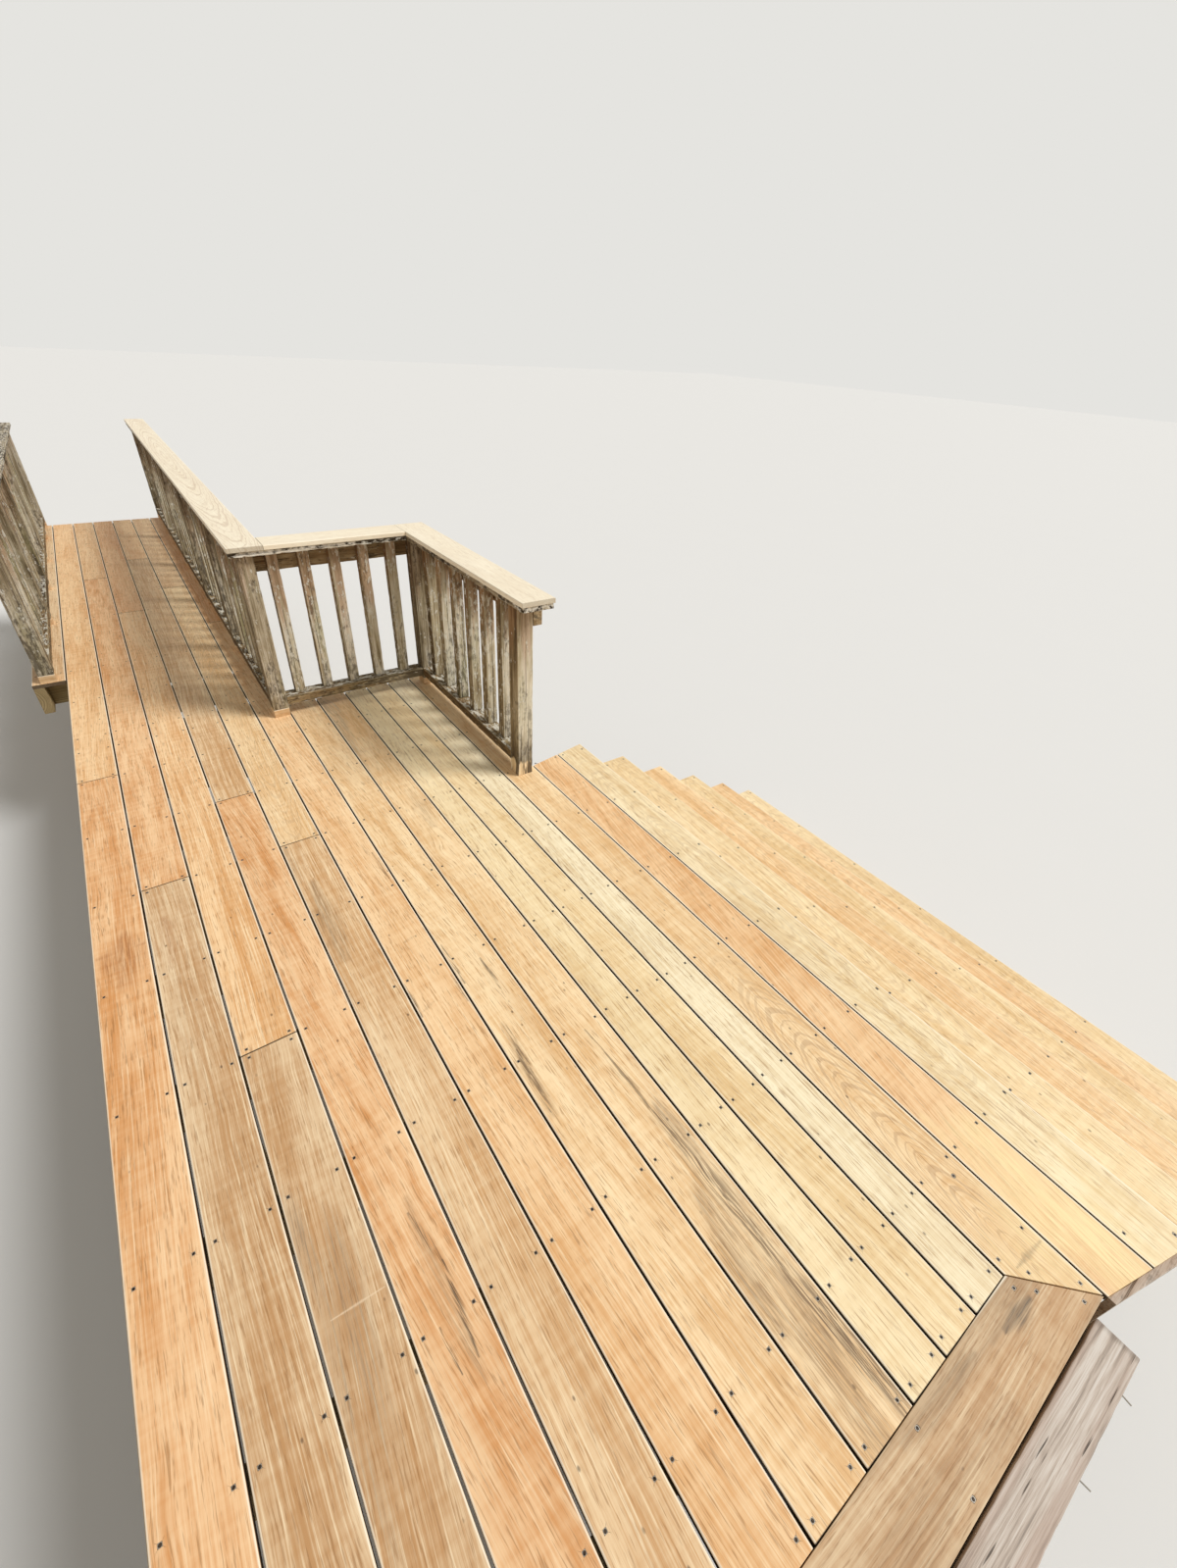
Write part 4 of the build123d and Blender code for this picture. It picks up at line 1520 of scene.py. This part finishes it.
    def _screw_lines(self, node: str, rows: list[float]) -> dict[int, list[Hole]]:
        """Pairs of screws where each board crosses a joist.

        Args:
            node: The boards' node.
            rows: Where the joists' centre lines are.

        Returns:
            Holes by the number of the board.
        """
        by_board: dict[int, list[Hole]] = {}
        for number, board in enumerate(boxes_of(node)):
            spots = by_board.setdefault(number, [])
            if node == "cross_board":
                continue
            low, high = board.low, board.high
            places = (low.x + self.edge_gap, high.x - self.edge_gap)
            if low.y < HOUSE_LINE - 0.1 and node != "stair_head_boards":
                for place in places:
                    if near_end(place) > low.y - 0.01:
                        spots.append(self._drawn(place, near_end(place) + self.near_gap))
            last = -math.inf
            for index, row in enumerate(rows):
                if not low.y - 0.001 < row < high.y + 0.001:
                    continue
                if row - low.y < self.butt_reach:
                    spread, row = 0.0, low.y + self.end_gap
                elif high.y - row < self.butt_reach:
                    spread, row = 0.0, high.y - self.end_gap
                else:
                    spread = self.slant
                    row += self.nudges[index] if index < len(self.nudges) else 0.0
                if row - last < self.least_pitch:
                    continue
                last = row
                for place in places:
                    slide = spread * min(0.8, place - WALL_LINE - self.square_at)
                    spots.append(self._drawn(place, row + slide))
        return by_board

    def _drawn(self, x: float, y: float) -> Hole:
        """A hole as a hand drills it, close to where it was meant."""
        return Hole(x + self.dice.uniform(-0.0012, 0.0012), y + self.dice.uniform(-0.002, 0.002))


@dataclass
class Stairs:
    """Treads, riser boards, stringers and foot plate.

    Attributes:
        edge_gap: Screws from a board's edge.
        past: Screws beyond their joist's centre line.
        clear: No row comes this close to a board's end.
        stray: How far a hand drills off the row.
        backs: Tones of the back boards from the top down.
        fronts: Tones of the front boards from the top down.
    """

    edge_gap: float = 0.0175
    past: float = 0.022
    clear: float = 0.02
    stray: float = 0.004
    backs: tuple[Tone, ...] = (Tone.STRAW, Tone.STRAW, Tone.CREAM, Tone.STRAW, Tone.SAND)
    fronts: tuple[Tone, ...] = (Tone.FLAX, Tone.SAND, Tone.STRAW, Tone.SAND, Tone.STRAW)
    working: Working = Working(arris=0.0009)
    frame_working: Working = Working(arris=0.002)
    holes: list[Hole] = field(default_factory=list)
    dice: random.Random = field(default_factory=lambda: random.Random(f"{SEED} tread screws"))

    def build(self, boards: bpy.types.Material, sawn: bpy.types.Material) -> None:
        """Build the flight.

        Args:
            boards: Finish of treads and riser boards.
            sawn: Finish of the stringers and the plate.
        """
        rows = joist_rows()
        for step, (back, front) in enumerate(zip(self.backs, self.fronts), 1):
            node = f"tread_{step}"
            by_board: dict[int, list[Hole]] = {}
            for number, board in enumerate(boxes_of(node)):
                by_board[number] = [
                    Hole(place, row + self.past + self.dice.uniform(-self.stray, self.stray))
                    for row in rows
                    for place in (board.low.x + self.edge_gap, board.high.x - self.edge_gap)
                    if board.low.y + self.clear < row < board.high.y - self.clear
                ]
                self.holes += by_board[number]
            eye = self.dice.uniform(0.2, 1.8)
            pair = [
                Look(back, Figure.SMOOTH, slope=0.03, low_gap=0.0, end_gap=0.0),
                Look(front, Figure.FINE, 0.05, 0.4, eye, 0.12, 0.5, high_gap=0.0, end_gap=0.0),
            ]
            Timbers(node, self.working, pair, by_board).build(boards)
        Timbers("riser_boards", self.working).build(boards)
        for node in ("stair_stringers", "stair_foot_plate"):
            Timbers(node, self.frame_working).build(sawn)


@dataclass
class Understructure:
    """Ledger, joists, bearers and piles."""

    working: Working = Working(arris=0.002)
    nodes: tuple[str, ...] = ("wall_ledger", "edge_joists", "deck_joists", "bearers", "piles")

    def build(self, sawn: bpy.types.Material) -> None:
        """Build the framing in its finish."""
        for node in self.nodes:
            Timbers(node, self.working).build(sawn)


@dataclass
class OldEdges:
    """The old beam and strip left at the near end."""

    beam: Working = Working(arris=0.003, cut_step=0.02, chip=0.0015, chip_scale=30)
    strip: Working = Working(arris=0.0015, cut_step=0.02, chip=0.001)

    def build(self, silvered: bpy.types.Material, old: bpy.types.Material) -> None:
        """Build the beam and the strip, each in its finish."""
        Timbers("old_edge_beam", self.beam).build(silvered)
        Timbers("old_side_strip", self.strip).build(old)


@dataclass
class Balustrades:
    """Posts, rails, balusters and caps of the four sections.

    Attributes:
        workings: How the timbers of each slot are worked.
        flame: Strength of the flame in the new caps.
        walkway_flame: Strength of the flame in the walkway's cap.
    """

    workings: dict[str, Working] = field(
        default_factory=lambda: {
            "old_post": Working(arris=0.0025, cut_step=0.02, chip=0.0016),
            "old_baluster": Working(arris=0.0025, cut_step=0.03, chip=0.0012, lean=0.03),
            "old_rail": Working(arris=0.0025, cut_step=0.02, chip=0.002),
            "old_cap": Working(arris=0.0025, cut_step=0.01, chip=0.0035, chip_scale=60),
            "new_cap": Working(arris=0.0009),
            "packer": Working(arris=0.0012),
        }
    )
    flame: float = 0.15
    walkway_flame: float = 0.7

    def build(self, finishes: dict[str, bpy.types.Material]) -> None:
        """Build all sections.

        Args:
            finishes: Materials by the record's slot, or by a node that has its own.
        """
        for node, slot in sorted(SLOT_OF.items()):
            if slot not in self.workings:
                continue
            looks = None
            if slot == "new_cap":
                flame = self.walkway_flame if node == "walkway_cap" else self.flame
                look = Look(
                    Tone.HONEY, Figure.BLOTCHY, slope=0.02, curl=0.6, eye=5.4, steep=0.05,
                    flame=flame, low_gap=0.0, high_gap=0.0, end_gap=0.4,
                )
                looks = [look] * len(boxes_of(node))
            finish = finishes.get(node, finishes[slot])
            Timbers(node, self.workings[slot], looks).build(finish)


@dataclass
class Screws:
    """Countersunk screws in the boards."""

    head_radius: float = 0.0043
    head_depth: float = 0.003
    recess_radius: float = 0.003
    recess_depth: float = 0.0012
    recess_taper: float = 0.0002
    above_seat: float = 0.0003

    def build(self, holes: list[Hole], steel: bpy.types.Material, dark: bpy.types.Material) -> None:
        """Set one screw in every hole.

        Args:
            holes: Where they go.
            steel: Finish of the heads.
            dark: Near-black finish of the recess, painted shade.
        """
        head = bmesh.new()
        bmesh.ops.create_cone(
            head,
            cap_ends=True,
            segments=10,
            radius1=self.head_radius * 0.5,
            radius2=self.head_radius,
            depth=self.head_depth,
            matrix=Matrix.Translation((0, 0, -self.head_depth / 2)),
        )
        top = max(head.faces, key=lambda face: face.calc_center_median().z)
        rim = self.head_radius - self.recess_radius
        for thickness, depth in ((rim, 0), (self.recess_taper, -self.recess_depth)):
            bmesh.ops.inset_individual(head, faces=[top], thickness=thickness, depth=depth)
        # The recess faces take the second, near-black material: painted shade.
        for edge in top.edges:
            for face in edge.link_faces:
                face.material_index = 1
        template = bpy.data.meshes.new("screw")
        head.to_mesh(template)
        head.free()
        whole = bmesh.new()
        for hole in holes:
            if hole.z:
                for vert in join_mesh(whole, template):
                    vert.co += Vector((hole.x, hole.y, hole.z + self.above_seat))
        bpy.data.meshes.remove(template)
        piece = new_piece("deck_screws", whole, steel, dark)
        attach(piece, "root")


@dataclass
class Nails:
    """Bent nails left in the far edge of the old beam."""

    radius: float = 0.0014
    length: float = 0.022
    in_timber: float = 0.004
    below_top: float = 0.012
    beam_edge: float = -0.228
    places: tuple[float, ...] = (1.52, 1.33, 1.15, 1.0)

    def build(self, steel: bpy.types.Material) -> None:
        """Set the nails.

        Args:
            steel: Their finish.
        """
        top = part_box("old_edge_beam")[1].z
        dice = random.Random(f"{SEED} nails")
        aim = Matrix.Rotation(math.radians(90), 4, "X")
        whole = bmesh.new()
        for across in self.places:
            x = WALL_LINE + across
            edge = near_end(x) + self.beam_edge
            spot = Vector((x, edge - self.length / 2 + self.in_timber, top - self.below_top))
            tilt = Matrix.Rotation(dice.uniform(-0.25, 0.25), 4, "Z")
            bmesh.ops.create_cone(
                whole,
                cap_ends=True,
                segments=8,
                radius1=self.radius,
                radius2=self.radius,
                depth=self.length,
                matrix=Matrix.Translation(spot) @ tilt @ aim,
            )
        piece = new_piece("beam_nails", whole, steel)
        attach(piece, "root")


# Studio and camera


@dataclass
class Studio:
    """Pale floor, pale surroundings and a soft lamp."""

    floor_size: float = 60.0
    sky_colour: str = "E5E4E0"
    fill_colour: str = "E7E1D7"
    sky_level: float = 0.5
    key_level: float = 2.7
    key_colour: tuple[float, float, float] = (1.0, 0.985, 0.963)
    key_spread: float = 20.0
    key_height: float = 50.0
    key_bearing: float = -40.0

    def build(self) -> None:
        """Build the floor, the world and the lamp."""
        mesh = bmesh.new()
        bmesh.ops.create_grid(mesh, x_segments=2, y_segments=2, size=self.floor_size)
        floor = new_piece("floor", mesh, FloorPaint().dress())
        self._sky()
        self._key()

    def _sky(self) -> None:
        """Even light from all round, seen as a pale backdrop."""
        world = bpy.data.worlds.new("soft_sky")
        bpy.context.scene.world = world
        world.use_nodes = True
        bench = Bench(world.node_tree)
        path = bench.add("ShaderNodeLightPath").socket.node
        rays = ("Is Camera Ray", "Is Glossy Ray", "Is Transmission Ray")
        seen = functools.reduce(Wire.most, (Wire(bench, path.outputs[ray]) for ray in rays))
        level = self.sky_level + seen * (1.0 - self.sky_level)
        colour = bench.mix(seen, self.fill_colour, self.sky_colour)
        light = bench.add("ShaderNodeBackground", None, {"Color": colour, "Strength": level})
        bench.add("ShaderNodeOutputWorld", None, {"Surface": light})

    def _key(self) -> None:
        """A broad lamp from the stair side, behind the viewer."""
        lamp = bpy.data.lights.new("key", "SUN")
        lamp.energy = self.key_level
        lamp.angle = math.radians(self.key_spread)
        lamp.color = self.key_colour
        rise, bearing = math.radians(self.key_height), math.radians(self.key_bearing)
        level = math.cos(rise)
        towards = Vector((level * math.cos(bearing), level * math.sin(bearing), math.sin(rise)))
        place_object("key", lamp).rotation_euler = towards.to_track_quat("Z", "Y").to_euler()


@dataclass
class Viewpoint:
    """The camera above the boards, close to the wall."""

    across: float = 0.425
    along: float = 0.0
    up: float = 1.576
    lens: float = 14.65
    clip: tuple[float, float] = (0.05, 300.0)
    yaw: float = 37.04
    pitch: float = 34.84
    roll: float = 3.79

    def build(self) -> None:
        """Make the camera and set it."""
        yaw, pitch, roll = (math.radians(angle) for angle in (self.yaw, self.pitch, self.roll))
        level = math.cos(pitch)
        ahead = Vector((math.sin(yaw) * level, math.cos(yaw) * level, -math.sin(pitch)))
        right = Vector((math.cos(yaw), -math.sin(yaw), 0.0))
        above = right.cross(ahead)
        side = right * math.cos(roll) + above * math.sin(roll)
        crown = above * math.cos(roll) - right * math.sin(roll)
        lens = bpy.data.cameras.new("viewpoint")
        lens.sensor_width = 36.0
        lens.sensor_fit = "AUTO"
        lens.lens = self.lens
        lens.clip_start, lens.clip_end = self.clip
        camera = place_object("viewpoint", lens)
        turn = Matrix((side, crown, -ahead)).transposed().to_4x4()
        place = deck_point(self.across, self.along, self.up)
        camera.matrix_world = Matrix.Translation(place) @ turn
        bpy.context.scene.camera = camera


def main() -> None:
    """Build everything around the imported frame."""
    logging.basicConfig(level=logging.INFO, format="%(name)s %(message)s")
    bpy.context.scene.view_settings.view_transform = "Standard"
    Viewpoint().build()
    Studio().build()

    boards = PlanedHardwood(marks=BOARD_MARKS).dress()
    stained = PlanedHardwood("planed_cross_board", marks=CROSS_MARKS, edge_bands=0.7).dress()
    caps = PlanedHardwood(
        "planed_cap",
        ((0.0, "F9F3DF"), (0.5, "FCF8E9"), (1.0, "FEFBF0")),
        "F0E5D8",
        liveliness=0.5,
        flecks=0.2,
    ).dress()
    packer = PlanedHardwood("planed_block", ((0.0, "DDB588"), (1.0, "EACB9F")), flecks=0.4).dress()
    sawn = SawnSoftwood().dress()
    old = {name: timber.dress() for name, timber in OLD_TIMBERS.items()}
    steel = ScrewSteel().dress()
    # Near-black stops in the screws' drive recess: painted shade.
    dark = ScrewSteel("screw_recess_shade", ((0.3, "0C0A08"), (0.7, "15110E")), 0.0).dress()

    deck, stairs = Deck(), Stairs()
    deck.build(boards, stained)
    stairs.build(boards, sawn)
    Understructure().build(sawn)
    OldEdges().build(SilveredBeam().dress(), old["old_side_strip"])
    Balustrades().build(old | {"new_cap": caps, "packer": packer})
    Screws().build(deck.holes + stairs.holes, steel, dark)
    Nails().build(steel)


if __name__ == "__main__":
    main()
